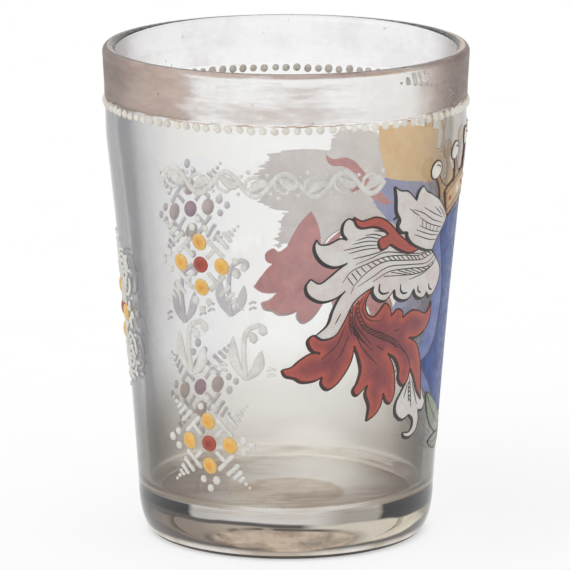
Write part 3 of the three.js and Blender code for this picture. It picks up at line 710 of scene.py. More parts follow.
def revolve(name, profile, materials, shift, ring=False):
    """Turns (radius, height) points about +Z: a closed ring, or a body from axis to axis."""
    rows = profile if ring else profile[1:-1]
    k = len(rows)
    angles = [2 * math.pi * i / ROUND_STEPS for i in range(ROUND_STEPS)]
    points = [(r * math.sin(a), -r * math.cos(a), z) for a in angles for r, z in rows]
    pairs = around(k) if ring else around(k)[:-1]
    faces = [(i * k + a, j * k + a, j * k + b, i * k + b)
             for i, j in around(ROUND_STEPS) for a, b in pairs]
    if not ring:
        first, last = len(points), len(points) + 1
        points += [(0, 0, profile[0][1]), (0, 0, profile[-1][1])]
        for i, j in around(ROUND_STEPS):
            faces += [(first, j * k, i * k), (last, i * k + k - 1, j * k + k - 1)]
    return add_mesh(name, np.array([tuple(shift(Vector(p))) for p in points]) * MM, faces,
                    materials)


def arc(centre, radii, start, end, steps):
    """Points on an arc from one angle to another, in degrees."""
    return [tuple(centre + polar(a) * radii) for a in np.linspace(start, end, steps + 1)]


# Glass, gold band and pearls

def glass_body():
    """Tumbler with a shallow dish under its foot. The inside of the cup sways a little."""
    def inner_wall(z):
        return float(wall_radius(z)) - WALL_THICKNESS

    def sway(p):
        radius = math.hypot(p.x, p.y)
        in_cup = (FLOOR_HEIGHT - 0.5 < p.z < SWAY_TOP
                  and radius < float(wall_radius(p.z)) - 1.5)
        if not in_cup:
            return p
        swell = noise.noise(Vector((p.x * 0.055, p.y * 0.055, p.z * 0.02)))
        if p.z < FLOOR_HEIGHT + 0.4:
            return Vector((p.x, p.y, p.z + FLOOR_SWAY * swell))
        share = 1 + WALL_SWAY * swell / max(radius, 1)
        return Vector((p.x * share, p.y * share, p.z))

    corner_z = FLOOR_HEIGHT + FLOOR_CORNER
    corner_r = inner_wall(corner_z) - FLOOR_CORNER
    ball = (PONTIL_RADIUS ** 2 + PONTIL_DEPTH ** 2) / (2 * PONTIL_DEPTH)
    half = math.degrees(math.asin(PONTIL_RADIUS / ball))
    profile = [
        *arc((0, PONTIL_DEPTH - ball), (ball, ball), 90, 90 - half, 8),
        (PONTIL_RADIUS + 0.5, 0), (FOOT_RADIUS - 1, 0),
        *arc((FOOT_RADIUS, HEEL_HEIGHT), (HEEL_RADIUS - FOOT_RADIUS, HEEL_HEIGHT), -90, 0, 18),
        *[(float(wall_radius(z)), z) for z in np.linspace(HEEL_HEIGHT, LIP_CENTRE[1], 44)[1:-1]],
        *arc(LIP_CENTRE, (LIP_RADIUS, LIP_RADIUS), 0, 180, 16),
        *[(inner_wall(z), z) for z in np.linspace(corner_z, INNER_WALL_TOP, 40)[:0:-1]],
        *arc((corner_r, corner_z), (FLOOR_CORNER, FLOOR_CORNER), 0, -90, 16),
        *[(corner_r * (1 - i / 8), FLOOR_HEIGHT) for i in range(1, 8)],
        (0, FLOOR_HEIGHT),
    ]
    obj = revolve("glass_tumbler", profile, [GLASS, FOOT], sway)
    for face in obj.data.polygons:
        if face.center.z < (PONTIL_DEPTH + 0.1) * MM and face.normal.z < -0.5:
            face.material_index = 1
    finish_piece(obj, "clear_glass", "glass_body")


def gilding():
    """Film of gold round the collar and up over the lip, its lower edge a little uneven."""
    low = PEARL_ROW[1] + GILDING_RISE
    layers = []
    for w in GILDING_FACES:
        wall = [(float(wall_radius(z)) + w, z) for z in np.linspace(low, LIP_CENTRE[1], 9)[:-1]]
        layers.append(wall + arc(LIP_CENTRE, (LIP_RADIUS + w, LIP_RADIUS + w), 0, 70, 8))

    def ragged(p):
        if p.z < low + 0.01:
            p.z += GILDING_RAGGED * noise.noise(Vector((-p.y, p.x, 0)).normalized() * 9)
        return p

    obj = revolve("gold_band", layers[0] + layers[1][::-1], [GILDING], ragged, ring=True)
    finish_piece(obj, "worn_gold", "rim_gilding")


def pearls():
    """Row of uneven pearls, and the gold line that they hang from."""
    pile, line = Pile(), Pile()
    girth = 2 * math.pi * float(wall_radius(PEARL_ROW[1]))
    for i in range(PEARL_COUNT):
        u = (i + random.uniform(-0.06, 0.06)) / PEARL_COUNT * girth
        size = PEARL_SIZE * random.uniform(0.88, 1.04)
        v = random.uniform(-0.12, 0.12)
        length = size * random.uniform(0.94, 1.08)
        relief = PEARL_RELIEF * random.uniform(0.8, 0.98)
        add_dome(pile, (u, v), size, length, 0, relief, sides=14, rings=4)
    pile.make("pearls", PEARL_ROW, [PEARL, PEARL_BACK], "pearl_enamel", "pearl_row")
    steps = 400
    i = np.arange(steps + 1)
    sag = 0.14 * np.sin(i * 0.9) * np.sin(i * 0.23)
    curve = np.column_stack([girth * i / steps, GILT_LINE_RISE + sag])
    add_stroke(line, curve, 0.28 + 0.12 * np.sin(i * 0.37) * np.sin(i * 0.11), 0.09)
    line.make("gilt_line", PEARL_ROW, [GILT, GILT], "worn_gold")


# Rosettes, scrolls, sprigs and frieze

def rosette(name, *place):
    """Red drop and four yellow ones, in a lattice of white dots, stems and bars."""
    heart = Pile()
    add_dome(heart, (0, 0), 3.6, 3.7, 10, 0.72)
    heart.make(name + "_heart", place, [RED_DROP, RED_DROP_BACK], "red_drop_enamel",
               name + "_centre")
    for side, turn in (("top", 90), ("right", 0), ("bottom", -90), ("left", 180)):
        petal = Pile()
        width = 3.4 + random.uniform(-0.1, 0.1)
        add_dome(petal, polar(turn, PETAL_REACH), width, 3.9, 25, 0.7)
        petal.make(name + "_petal_" + side, place, [YELLOW_DROP, DROP_BACK],
                   "yellow_drop_enamel", name + "_" + side)
    lines = Pile()
    for turn in (0, 90, 180, 270):
        for reach, shift in ((8.3, 1.6), (8.3, -1.6), (10.2, 0)):
            shift += random.uniform(-0.2, 0.2)
            size = 1.7 + random.uniform(-0.2, 0.15)
            at = polar(turn, reach) + polar(turn + 90, shift)
            add_dome(lines, at, size, size * 1.1, 0, 0.42, sides=14, rings=3)
    for turn in (45, 135, 225, 315):
        stem = smooth_curve([polar(turn, 2.4), polar(turn, 5.6)], 0.4)
        add_stroke(lines, stem, 0.95, FINE_RELIEF)
        for reach, length, width, lean in ((5.6, 4.3, 1.0, 0), (7.8, 2.9, 0.95, 0.1),
                                           (9.4, 1.9, 0.9, 0.1), (10.8, 0.9, 0.85, 0)):
            reach += random.uniform(-0.12, 0.12)
            half = polar(turn + 90, length / 2)
            ends = [polar(turn, reach) - half, polar(turn, reach + lean) + half]
            curve = smooth_curve(ends, 0.4)
            t = np.linspace(-1, 1, len(curve))
            add_stroke(lines, curve, width * (0.94 + 0.24 * t ** 2), FINE_RELIEF)
            for end in ends:
                dot(lines, end, width * 1.15, 0.35)
        for reach, size in ((12, 0.95), (13.2, 0.7)):
            dot(lines, polar(turn, reach), size, 0.3)
    lines.make(name + "_strokes", place, [LINE, LINE_BACK], "white_line_enamel")


def side_scrolls():
    """Four scrolls round the side rosette, each with an echo line, dots and drops."""
    eye = (6.6, 9.4)
    lines = (([(3.6, 4.2), (3.4, 6.6), *spiral(eye, 3.0, 0.9, 1.35, 180)], 0.8),
             ([(2.6, 10.6), *spiral(eye, 4.1, 3.9, 0.42, 160)], 0.6),
             ([(1.6, 7.6), (2.2, 11.2), (4.6, 14.0), (8.2, 14.6)], 0.7),
             ([(6.6, 4.4), (8.6, 4.6), (10.4, 6.2), (10.8, 8.6)], 0.65))
    dots = ((9.6, 13.2, 1.2), (2.4, 13.6, 1.1), (11.4, 10.4, 1.0), (1.2, 15.4, 1.2),
            (3.2, 16.2, 0.9), (0.6, 17.6, 0.8), (8.8, 2.6, 1.1), (10.9, 4.2, 0.8))
    for name, flip in (("upper_right", (1, 1)), ("upper_left", (-1, 1)),
                       ("lower_right", (1, -1)), ("lower_left", (-1, -1))):
        pile = Pile()
        for points, width in lines:
            curve = smooth_curve(np.array(points) * flip, 0.35)
            t = np.linspace(0, 1, len(curve))
            add_stroke(pile, curve, width * (0.75 + 0.35 * np.sin(np.pi * t)), LINE_RELIEF)
        dot(pile, np.array(eye) * flip, 1.1, 0.45, 14)
        for *at, size in dots:
            dot(pile, np.array(at) * flip, size, LINE_RELIEF)
        pile.make("scrolls_" + name, (SIDE_BEARING, ROSETTE_SIDE), [LINE, LINE_BACK],
                  "white_line_enamel", "scroll_" + name)


def sprigs():
    """Four sprigs of two leaves and an arching stem with two hanging bells."""
    leaves = (([(-0.2, -6.4), (-2.6, -2), (-2.8, 3.4)], 2.5, 1.3),
              ([(0.2, -6.4), (2.6, -3.6), (3.6, 0.4)], 2.5, 1.3),
              ([(3, 6.3), (3.9, 5.4), (4, 3.6)], 2, 2.4),
              ([(0.3, 4.2), (1.6, 3.6), (2, 1.8)], 2, 2.4))
    stem = smooth_curve([(0, -6.6), (-0.4, 0), (0.4, 4.6), (3.4, 6.2)])
    pile = Pile()
    for spine, width, bluntness in leaves:
        add_plate(pile, leaf_outline(spine, width, bluntness), FINE_RELIEF, 0.05, 0.4, 0.6)
    add_stroke(pile, stem, 1.15, LINE_RELIEF)
    for u, v in ((5.6, -5.2), (5.6, -3.9), (-5.2, -4.6), (-5.2, -3.3)):
        dash = [(u - 0.9, v - 0.3), (u, v + 0.2), (u + 0.9, v - 0.1)]
        add_stroke(pile, smooth_curve(dash, 0.3), 0.55, 0.3)
    for name, offset, turn in (("front_outer", SPRIG_OUTER, 1), ("front_inner", SPRIG_INNER, 1),
                               ("back_inner", -SPRIG_INNER, -1), ("back_outer", -SPRIG_OUTER, -1)):
        pile.make("sprig_paint_" + name, (SIDE_BEARING + offset, SPRIG_HEIGHT), [LINE, LINE_BACK],
                  "white_line_enamel", "sprig_" + name, turn=turn)


def frieze():
    """Waving stem with a broad leaf springing from each bend, and dots between them."""
    length, waves, swing = 52, 4, 2.6
    pile = Pile()

    def on_stem(turns):
        return ((turns - waves / 2) * length / waves, swing * math.sin(turns * 2 * math.pi))

    stem = smooth_curve([on_stem(i / 8) for i in range(waves * 8 + 1)], 0.4)
    add_stroke(pile, stem, 1.25, LINE_RELIEF)
    for i in range(waves * 2):
        root, flip = np.array(on_stem(i / 2 + 0.12)), (1, 1 if i % 2 else -1)
        spine = [root, root + (3, 2 * flip[1]), root + (5, 1.4 * flip[1])]
        add_plate(pile, leaf_outline(spine, 2.4, 1.4), LINE_RELIEF, 0.05, 0.4, 0.6)
        curl = np.array([(-0.6, 0.6), (-0.2, 2.6), (1.8, 3.6), (2.6, 2.6)]) * flip
        pen(pile, root + curl, 0.8, FINE_RELIEF, 0.6, 0.05)
        for *at, size in ((0.2, 4.6, 1.1), (-1.4, 3.6, 0.9), (4.4, 4.0, 0.9)):
            dot(pile, root + np.array(at) * flip, size, 0.4, 14)
    pile.make("frieze", FRIEZE, [LINE, LINE_BACK], "white_line_enamel", "frieze_vine")


# Arms: the left half of each outline, as smooth runs between sharp corners. Each run starts
# where the last one ended, and the right half is the mirror image.

WHITE_UPPER = [
    [(-37.5, 26.8), (-35.3, 26.4), (-33.6, 25.2), (-32.1, 23.9)],
    [(-31.8, 25.4), (-31.1, 26.5), (-30.2, 26.9)],
    [(-28.9, 25.5), (-27, 24.7), (-25.4, 23.9)],
    [(-23.2, 22.7), (-20.8, 20.7), (-18.7, 18.2), (-20.2, 16), (-22.2, 14), (-23.9, 11.6)],
    [(-26.4, 12), (-29, 12.9), (-31.6, 14.2), (-33.2, 15.8), (-33.6, 17.1)],
    [(-35.3, 17.3), (-36.7, 18.8), (-36.5, 20.5)],
    [(-37.7, 22.2), (-38.2, 24.7), (-38.7, 26.4), (-39.2, 27.9)],
]
RED_SMALL = [
    [(-46.5, 21), (-44.8, 21.2), (-43.1, 21.5), (-40.9, 20.9), (-38.4, 19.2), (-36.3, 17.2),
     (-33.2, 15), (-28.7, 12.7)],
    [(-32, 12.2), (-35.4, 13.4), (-38, 14.8), (-39.2, 14.2), (-40.2, 14), (-41.2, 15.1),
     (-41.2, 16.4), (-39, 17.3)],
    [(-40.7, 18.5), (-43.2, 19.4), (-46.2, 19.4), (-47.7, 20.4), (-48.4, 22)],
]
WHITE_MAIN = [
    [(-40.7, 18.5), (-43.2, 19.5), (-46.4, 19.4), (-48.2, 21), (-49.6, 21.7), (-50.6, 20.6),
     (-50.5, 18.6), (-49.2, 17)],
    [(-50.9, 17.3), (-53.3, 16.2), (-55.2, 16.3), (-56, 17.4)],
    [(-56.3, 15.8), (-55.5, 13.8), (-53.6, 11.9), (-51, 11), (-48.2, 11.7)],
    [(-50, 10.4), (-52, 8.6), (-53.8, 7.4), (-55.9, 8.5)],
    [(-56.7, 6.8), (-55.7, 4.7), (-52.9, 3.3), (-50, 3.8), (-47.7, 5.4)],
    [(-48.9, 3.8), (-49.9, 1.1), (-50.6, -2), (-52.9, -4.4)],
    [(-51, -5.3), (-48.4, -4.4), (-46.8, -1.3), (-45.3, 2.6), (-43, 4.7), (-40.9, 5.8)],
    [(-40.9, 4.3), (-39.4, 2.7), (-37.2, 2.3), (-35.1, 4.4)],
    [(-34.4, 2.6), (-32.2, 1.6), (-30.2, 1.9), (-29, 3.6)],
    [(-28, 2), (-26.2, 1.1), (-24.7, 1.3), (-24.1, 2.1)],
    [(-22.4, 1), (-20.2, 1.8), (-18.5, 4.6), (-19, 7), (-21.2, 9.3), (-23.8, 11.4)],
    [(-28, 13.6), (-34, 15.8), (-39.2, 17.2)],
]
RED_MAIN = [
    [(-43.6, 3.4), (-46.5, 0), (-48.4, -3.4), (-51.4, -5)],
    [(-53.4, -4.3), (-54.4, -5.6), (-53.3, -7.6), (-51.3, -8.4)],
    [(-53.4, -8.4), (-55.4, -9.7), (-57.2, -11.4), (-59.2, -12)],
    [(-58.2, -13.4), (-56.2, -13.9), (-54.4, -14.8), (-51.8, -14.6), (-50.1, -13.8)],
    [(-50.1, -15.4), (-48.6, -16.7), (-46.6, -15.6), (-44.8, -12.9), (-43.8, -10.3),
     (-43.6, -7.3)],
    [(-42.1, -10.4), (-41.3, -13), (-41.7, -15.6), (-42.5, -17.4), (-41.4, -18.6), (-39, -16.5)],
    [(-39.3, -18.6), (-38.1, -21.4), (-38.2, -24.8)],
    [(-36.1, -23.5), (-34.8, -21.6), (-34.5, -19)],
    [(-33.4, -21), (-32, -21.4), (-31.2, -19), (-31.8, -15.2), (-33.1, -12.1), (-34.6, -10)],
    [(-32.5, -11.3), (-30.8, -13.8), (-30.5, -16.3), (-29, -18), (-27.5, -17.2), (-26.8, -14.6)],
    [(-25.2, -17), (-23.4, -20.2), (-21.3, -22.5)],
    [(-22, -19.4), (-22.5, -15.9), (-23.7, -12.2), (-25.7, -9), (-28.5, -7.4)],
    [(-25.6, -7.6), (-22.4, -6.2), (-20.9, -3.8), (-21.1, -0.4)],
    [(-21.9, -2.1), (-23.6, -2.7), (-26.4, -1.6), (-29, -1.3), (-31.4, -2.4)],
    [(-31.7, -1), (-33.3, -0.2), (-34.9, -1.5)],
    [(-35.6, 0.4), (-37.1, 1.6), (-38.3, 0.2), (-39.8, -1.1), (-41.6, 0), (-42.3, 2.6),
     (-41, 5.8)],
]
WHITE_TIP = [
    [(-27.4, -17), (-29, -19.4), (-30.4, -22), (-30.1, -24.4), (-28, -26), (-25.6, -25.3)],
    [(-24.1, -26.6), (-23.9, -28.2), (-25, -29.3), (-27.1, -29.1)],
    [(-26.6, -30.1), (-24.4, -30.5), (-22.2, -29.2), (-21.6, -27), (-22.1, -24.9)],
    [(-20.4, -25.1), (-19.3, -23.5), (-20.5, -21.7)],
    [(-23, -17.8), (-26.8, -14.6)],
]
# Pen lines on the leaves
WHITE_MAIN_PEN = [
    [(-24.1, 11.5), (-29, 11.2), (-34, 12), (-39.3, 12.2), (-44, 11), (-47.1, 9.7), (-48.6, 7.4)],
    [(-22.7, 11.1), (-27.3, 10.1), (-32.8, 10.7), (-38.6, 11.2), (-42.5, 9.7), (-45.4, 7),
     (-46.3, 4.8)],
    [(-22, 10.4), (-25.5, 9), (-31.3, 9.5), (-37.6, 9.9), (-41.5, 8.1), (-44.9, 6.2)],
    [(-21.3, 9.4), (-25.3, 8.1), (-30.8, 8.6), (-37.1, 8.8), (-41.3, 7)],
    [(-21.4, 8.7), (-25.6, 7.3), (-29.9, 7.1), (-34, 7.5)],
    [(-22.4, 8.2), (-26.2, 6.8), (-31, 6.1)],
    [(-23.3, 11.8), (-28.3, 11.6), (-33.4, 12.4), (-39, 13.3), (-42.5, 12.4), (-46.2, 11.3)],
    [(-38.4, 14.3), (-41.4, 13.4), (-47.1, 12.6)],
    [(-41, 14.5), (-44.6, 14.5), (-48.3, 13.9)],
    [(-41.4, 15.2), (-44.7, 15.3), (-49.6, 14.7)],
    [(-41.6, 16), (-44.4, 16.3), (-47.7, 15.9)],
    [(-41.2, 16.5), (-44.1, 17.2), (-46.9, 16.7)],
    [(-40.3, 16.9), (-42.6, 17.7), (-44.9, 17.7)],
    [(-39.6, 17.8), (-41.4, 18.3), (-43, 18.5)],
    [(-47.9, 0.5), (-48.9, -1.9)],
]
WHITE_MAIN_HOOKS = [
    [(-39.4, 6.3), (-39.3, 4.8), (-38.2, 3.9), (-36.6, 4)],
    [(-33.4, 5.4), (-33.2, 4), (-32.2, 3.2), (-31, 3.2)],
    [(-27.6, 4.2), (-27.3, 3), (-26.2, 2.4)],
    [(-23.4, 3.9), (-22.9, 2.8), (-21.7, 2.3)],
]
WHITE_UPPER_PEN = [
    [(-29.1, 21.9), (-24.8, 19.9), (-20.7, 18.3)],
    [(-32.8, 22), (-29.2, 20.7), (-24.9, 18.5), (-20.1, 17)],
    [(-34, 22.4), (-32, 21.1), (-30.5, 20.3)],
    [(-30.4, 20), (-26.4, 17.9), (-20.6, 16.1)],
    [(-23, 21.2), (-20.4, 19.1), (-19.6, 18)],
    [(-24.7, 21.3), (-21.5, 19.1)],
    [(-30, 18), (-25.1, 16.1), (-21.6, 15.3)],
    [(-30.9, 17.2), (-25.8, 15.4), (-22.4, 14.7)],
    [(-31.3, 16.2), (-25.9, 14.3), (-22.9, 13.8)],
]
WHITE_UPPER_HOOKS = [
    [(-39.2, 27.9), (-38.5, 25.6), (-38, 22.8), (-36.9, 20.7)],
    [(-38.2, 20.4), (-37, 20.9), (-36.2, 19.9), (-36.7, 18.4)],
    [(-34.6, 17.4), (-33.7, 16.6), (-33.2, 15.2), (-31.8, 13.9)],
]
RED_MAIN_PEN = [
    [(-43.2, 3.5), (-43.8, 1.6), (-43.1, -0.4), (-40.8, -3.3), (-36.7, -5.2), (-32.3, -7.5),
     (-29.5, -10.6)],
    [(-44.1, 3), (-44.4, 0.8), (-42.3, -3.1), (-38.8, -5.5), (-34, -7.7), (-32.1, -9.1)],
    [(-45.3, 1.9), (-44.8, -1.6), (-42.5, -5.3), (-38.9, -8.8)],
    [(-44.6, 1.3), (-43.9, -2.4), (-39.5, -7.3)],
    [(-45.7, 1.2), (-45.7, -1.5), (-44.6, -4.8)],
    [(-42.5, 3.8), (-42.8, 0.9), (-40.9, -1.6), (-37.7, -2.3)],
    [(-44.3, -3.7), (-41.2, -8.3), (-37.2, -12.1)],
    [(-46.5, -2.6), (-47.8, -6.6), (-50.8, -9.8)],
    [(-45.3, -4.7), (-46.4, -8.5), (-47.5, -10.2)],
    [(-30.9, -8.8), (-28, -12), (-26.9, -14.6)],
    [(-37.9, -7.9), (-35.8, -9)],
    [(-33.6, -5.2), (-32.2, -4.9)],
]
WHITE_TIP_PEN = [
    [(-27.2, -17.9), (-27.9, -21)],
    [(-26.9, -17.5), (-26.2, -22.2)],
    [(-26.6, -16.5), (-25, -23.6)],
    [(-25.7, -17.5), (-22.9, -23.3)],
]
# Shield and border: the right half of each, from the foot up
SHIELD = [
    [(0, -28.4), (5, -28.3), (10, -27.4), (14.4, -24.6), (17, -20.6), (21.1, -16.2), (23, -13.9)],
    [(19.7, -12.4), (17, -9), (15.9, -4.1), (15.6, 1), (17.7, 8), (19.9, 13.4), (20.4, 17.6)],
    [(14, 18.4), (7, 19), (0, 19.2)],
]
BORDER = [
    [(0, -30.6), (8, -30), (15, -26), (20, -20.8), (24.9, -15.6)],
    [(24.6, -12), (22.4, -7.6), (20.9, -3), (20.7, 2), (21.8, 8), (23.6, 14), (23.6, 20)],
    [(14, 20.8), (7, 21.2), (0, 21.4)],
]

def outline_strokes(pile, runs, hidden, level, fine=0.46, heavy=0.58):
    """Ink round a leaf, heavier where the outline faces left or down. Hidden runs have none."""
    x, y = closed_outline(runs).T
    hand = np.sign((x * np.roll(y, -1) - np.roll(x, -1) * y).sum())
    for i, curve in enumerate(joined(runs, runs[-1][-1], 0.3)):
        if i not in hidden:
            facing = np.clip(hand * sideways(curve) @ (0.78, 0.62), 0, 1)
            ends = 0.65 + 0.35 * np.sin(np.pi * np.linspace(0, 1, len(curve))) ** 0.5
            add_stroke(pile, curve, (fine + heavy * facing) * ends, level, 0.03)


def ladder(pile, first, second, count, level, width=0.34):
    """Short ticks between two pen lines, at even shares of their length."""
    a, b = smooth_curve(first, 0.3), smooth_curve(second, 0.3)
    for i in range(1, count + 1):
        share = i / (count + 1)
        start, end = a[int(share * (len(a) - 1))], b[int(share * (len(b) - 1))]
        tick = [start + (end - start) * k for k in (0.12, 0.5, 0.88)]
        add_stroke(pile, tick, width, level, -0.02)


def leaf_pair(name, thickness, paint, runs, pens=(), ladders=(), hooks=(), hidden=(), depth=0.08):
    """A painted leaf and its ink, left and right of the shield. Each ladder is a pair of pen
    lines that carry ticks between them, with the number of ticks."""
    materials, ink, slot = paint
    plate, lines = Pile(), Pile()
    level = thickness + INK_RELIEF
    add_plate(plate, closed_outline(runs), thickness, depth)
    outline_strokes(lines, runs, hidden, level)
    for points in pens:
        pen(lines, points, PEN_WIDTH, level)
    for points in hooks:
        pen(lines, points, HOOK_WIDTH, level, 0.45)
    for first, second, count in ladders:
        ladder(lines, pens[first], pens[second], count, level)
    for side, turn in ARMS_SIDES:
        plate.make(f"{name}_paint_{side}", ARMS, materials, slot, f"{name}_{side}", turn=turn)
        lines.make(f"{name}_ink_{side}", ARMS, [ink, INK_BACK], "ink_enamel", turn=turn)


def mantling():
    """The leaves beside the shield, from the undermost up."""
    white = ([WHITE, WHITE_BACK], INK, "white_leaf_enamel")
    red = ([RED, RED_BACK], BROWN_INK, "red_leaf_enamel")
    leaf_pair("white_tip_leaf", 0.08, white, WHITE_TIP, WHITE_TIP_PEN, [(1, 2, 5)], hidden=[4])
    leaf_pair("red_main_leaf", 0.12, red, RED_MAIN, RED_MAIN_PEN, [(0, 1, 17), (2, 4, 7)],
              hidden=[0])
    leaf_pair("white_main_leaf", 0.17, white, WHITE_MAIN, WHITE_MAIN_PEN,
              [(0, 1, 19), (3, 4, 9)], WHITE_MAIN_HOOKS, hidden=[11])
    leaf_pair("red_small_leaf", 0.22, red, RED_SMALL, depth=0.12)
    leaf_pair("white_upper_leaf", 0.27, white, WHITE_UPPER, WHITE_UPPER_PEN, [(3, 6, 5)],
              WHITE_UPPER_HOOKS)


def shield():
    """Blue field with a dark line round it, on a paler border."""
    border, field, edge = Pile(), Pile(), Pile()
    outline = both_halves(SHIELD)
    add_plate(border, both_halves(BORDER), 0.05, 0.07, fade=3.4)
    add_plate(field, outline, 0.075, 0.08, fade=3)
    add_stroke(edge, [*outline, outline[0]], 0.7, 0.1, -0.02)
    border.make("shield_border_paint", ARMS, [PALE_BLUE, BLUE_BACK], "pale_blue_enamel",
                "shield_border")
    field.make("shield_field_paint", ARMS, [BLUE, BLUE_BACK], "blue_enamel", "shield_field")
    edge.make("shield_line", ARMS, [DARK_BLUE, DARK_BLUE], "ink_enamel")


def fan(reach, lean):
    """Place at a reach from the point that the coronet fans out from."""
    return polar(90 - lean, reach) - (0, CORONET_SINK)


def fan_arc(reach):
    return [fan(reach, lean) for lean in np.linspace(-BAND_SPREAD, BAND_SPREAD, 25)]


def coronet():
    """Gold band with beads, and rays that carry balls."""
    gold, ink, beads = Pile(), Pile(), Pile()
    low, high = BAND_REACH - BAND_WIDTH / 2, BAND_REACH + BAND_WIDTH / 2
    add_plate(gold, np.array(fan_arc(low) + fan_arc(high)[::-1]), 0.2, 0.08)
    for reach, width in ((low, 0.4), (low + 1.6, 0.25), (high - 1.4, 0.25), (high, 0.4)):
        add_stroke(ink, fan_arc(reach), width, 0.26, 0)
    for lean in (-BAND_SPREAD, BAND_SPREAD):
        add_stroke(ink, [fan(reach, lean) for reach in (low, BAND_REACH, high)], 0.4, 0.26, 0)
    for lean in np.linspace(-BALL_SPREAD, BALL_SPREAD, BALL_COUNT):
        foot, top = fan(high - 0.5, lean * 0.93), fan(BALL_REACH - 1.6, lean)
        spine = np.array([foot, (foot + top) / 2, top])
        half = sideways([foot, top])[0] * np.array(RAY_HALF_WIDTHS)[:, None]
        left, right = smooth_curve(spine + half, 0.4), smooth_curve((spine - half)[::-1], 0.4)
        add_plate(gold, np.vstack([left, right]), 0.22, 0.08)
        for edge in (left, right):
            add_stroke(ink, edge, 0.35, 0.27, 0)
        ball = fan(BALL_REACH, lean)
        add_dome(beads, ball, BALL_SIZE, BALL_SIZE, 0, 0.42, sides=28)
        ring = [ball + polar(a, BALL_SIZE / 2) for a in np.linspace(0, 360, 33)]
        glint = [ball + polar(a, 1.1) for a in np.linspace(30, 115, 8)]
        add_stroke(ink, ring, 0.42, 0.2, 0)
        add_stroke(ink, glint, 0.35, 0.5, 0)
    for i in range(9):
        at = fan(BAND_REACH, BAND_SPREAD * 0.88 * (i / 4 - 1))
        length, slot = (2.0, 0) if i % 2 else (1.5, 2)
        add_dome(beads, at, 1.5, length, 0, 0.45, slot=slot)
    gold.make("coronet_gold", ARMS, [GOLD, GOLD_BACK], "gold_enamel", "coronet")
    beads.make("coronet_beads", ARMS, [PEARL, GOLD_BACK, RED_DROP, GOLD_BACK], "pearl_enamel")
    ink.make("coronet_ink", ARMS, [BROWN_INK, BROWN_INK], "ink_enamel")


def grounds():
    """Washes laid under the right half first, which show through the glass from the left."""
    gold = [[(12.3, 32), (26, 31), (35.4, 29.6)], [(34.2, 24), (31.7, 19), (30.6, 18)],
            [(24, 18.4), (12.2, 20)], [(11.4, 26), (11.6, 32)]]
    blue = [[(33.1, 17.6), (34.6, 14.6), (34.2, 12), (29.7, 8.7)], [(24, 7.6), (17, 8)],
            [(17.4, 14), (16.6, 20.2)], [(26, 19.4), (33.1, 17.6)]]
    red = [[(46.4, 0.5), (47.2, 5), (49.8, 9.1)], [(52.2, 6.6), (54, 3), (54.9, 0.8)],
           [(56.6, -0.3), (58.4, 0.5), (60, -0.8), (59.4, -2.6), (58, -3.1)],
           [(59.8, -5.2), (61.8, -8.2)], [(59.6, -9.6), (56.4, -9.9), (53.3, -8.9)],
           [(52.6, -10.4), (51.4, -10.8), (50.5, -9.2)],
           [(49.9, -6.8), (48.4, -4.6), (47.1, -4.9)]]
    pale = [[(41, 28.4), (46.3, 27.5)], [(47.2, 25.2), (47.2, 22.9)], [(55, 23.1), (62, 22)],
            [(63.9, 19), (65, 14.4), (62.4, 11), (58.8, 9.4), (55.8, 9.1)],
            [(57.2, 5.2), (57.4, 0.4)], [(52, 3), (43, 6.9), (32.6, 12.5)],
            [(34.2, 20), (35.3, 28)]]
    for name, runs, paints, slot, thickness, depth, uneven in (
            ("gold_wash", gold, [GOLD_WASH, GOLD_BACK], "gold_enamel", 0.04, 0.13, 0.6),
            ("blue_wash", blue, [PALE_BLUE, BLUE_BACK], "pale_blue_enamel", 0.04, 0.11, 0.4),
            ("red_wash", red, [RED, RED_BACK], "red_leaf_enamel", 0.05, 0.1, 0.25),
            ("white_wash", pale, [WHITE, WHITE_BACK], "white_leaf_enamel", 0.04, 0.09, 2.0)):
        pile = Pile()
        add_plate(pile, brushed(closed_outline(runs), uneven), thickness, depth, edge=0.1)
        pile.make(name, ARMS, paints, slot)


def base_sprays():
    """Green leaves on each side of the shield's foot."""
    paint, lines = Pile(), Pile()
    for spine, width in (([(-1.4, -31.2), (-8, -30.6), (-14, -27), (-18.8, -21.6)], 5.4),
                         ([(-2.6, -32), (-9, -34.2), (-15.4, -33.6)], 3.6)):
        outline = leaf_outline(spine, width, 1.4)
        add_plate(paint, outline, 0.1, 0.07)
        add_stroke(lines, [*outline, outline[0]], 0.32, 0.15, 0.02)
        pen(lines, spine, 0.3, 0.15)
    for side, turn in ARMS_SIDES:
        paint.make("base_spray_paint_" + side, ARMS, [GREEN, LINE_BACK], "green_enamel",
                   "base_spray_" + side, turn=turn)
        lines.make("base_spray_ink_" + side, ARMS, [INK, INK], "ink_enamel", turn=turn)


# Camera, floor and light

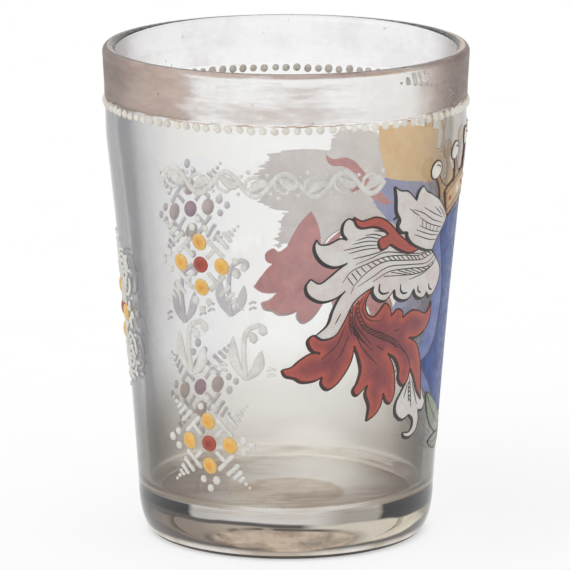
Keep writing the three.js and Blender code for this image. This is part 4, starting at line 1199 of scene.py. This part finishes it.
def camera():
    elevation = math.radians(CAMERA_ELEVATION)
    back = Vector((0, -math.cos(elevation), math.sin(elevation))) * CAMERA_DISTANCE
    data = bpy.data.cameras.new("camera")
    data.lens = CAMERA_LENS
    data.sensor_width = 36
    data.clip_start, data.clip_end = 0.05, 30
    obj = bpy.data.objects.new("camera", data)
    bpy.context.scene.collection.objects.link(obj)
    obj.location = (Vector(CAMERA_TARGET) + back) * MM
    look = Vector(CAMERA_AIM) * MM - obj.location
    obj.rotation_euler = look.to_track_quat("-Z", "Y").to_euler()
    bpy.context.scene.camera = obj


def stage():
    half = 4.0
    corners = [(-half, -half, 0), (half, -half, 0), (half, half, 0), (-half, half, 0)]
    obj = add_mesh("floor", corners, [(0, 1, 2, 3)], [FLOOR])
    obj.location.z = -0.0001


def world():
    """Pale sky with a soft patch of light. The camera sees it plain white."""
    sky = bpy.data.worlds.new("studio")
    bpy.context.scene.world = sky
    n = Nodes(sky, "Generated")
    level = n.add("MapRange", {"Value": n.axes()[2], "To Min": SKY_LOW, "To Max": SKY_HIGH})
    way = Vector(SOFT_LIGHT_WAY).normalized()
    towards = n.add("VectorMath", {0: n.place, 1: way}, "Value", operation="DOT_PRODUCT")
    outer, inner = (math.cos(math.radians(a)) for a in (SOFT_LIGHT_OUTER, SOFT_LIGHT_INNER))
    total = level + towards.span(outer, inner, 0.0, SOFT_LIGHT)
    seen = n.add("Mix", {0: n.rays("Camera"), 2: total, 3: 1.0}, data_type="FLOAT")
    background = n.tree.nodes["Background"]
    n.feed(background.inputs["Color"], linear(1.0))
    n.feed(background.inputs["Strength"], seen)


camera()
stage()
world()
glass_body()
gilding()
pearls()
for end, offset in (("front", ROSETTE_OFFSET), ("back", -ROSETTE_OFFSET)):
    rosette("rosette_upper_" + end, SIDE_BEARING + offset, ROSETTE_UPPER)
    rosette("rosette_lower_" + end, SIDE_BEARING + offset, ROSETTE_LOWER)
rosette("rosette_side", SIDE_BEARING, ROSETTE_SIDE)
side_scrolls()
sprigs()
frieze()
grounds()
shield()
coronet()
base_sprays()
mantling()

bpy.context.scene.cycles.blur_glossy = 0
bpy.context.scene.view_settings.view_transform = "Standard"
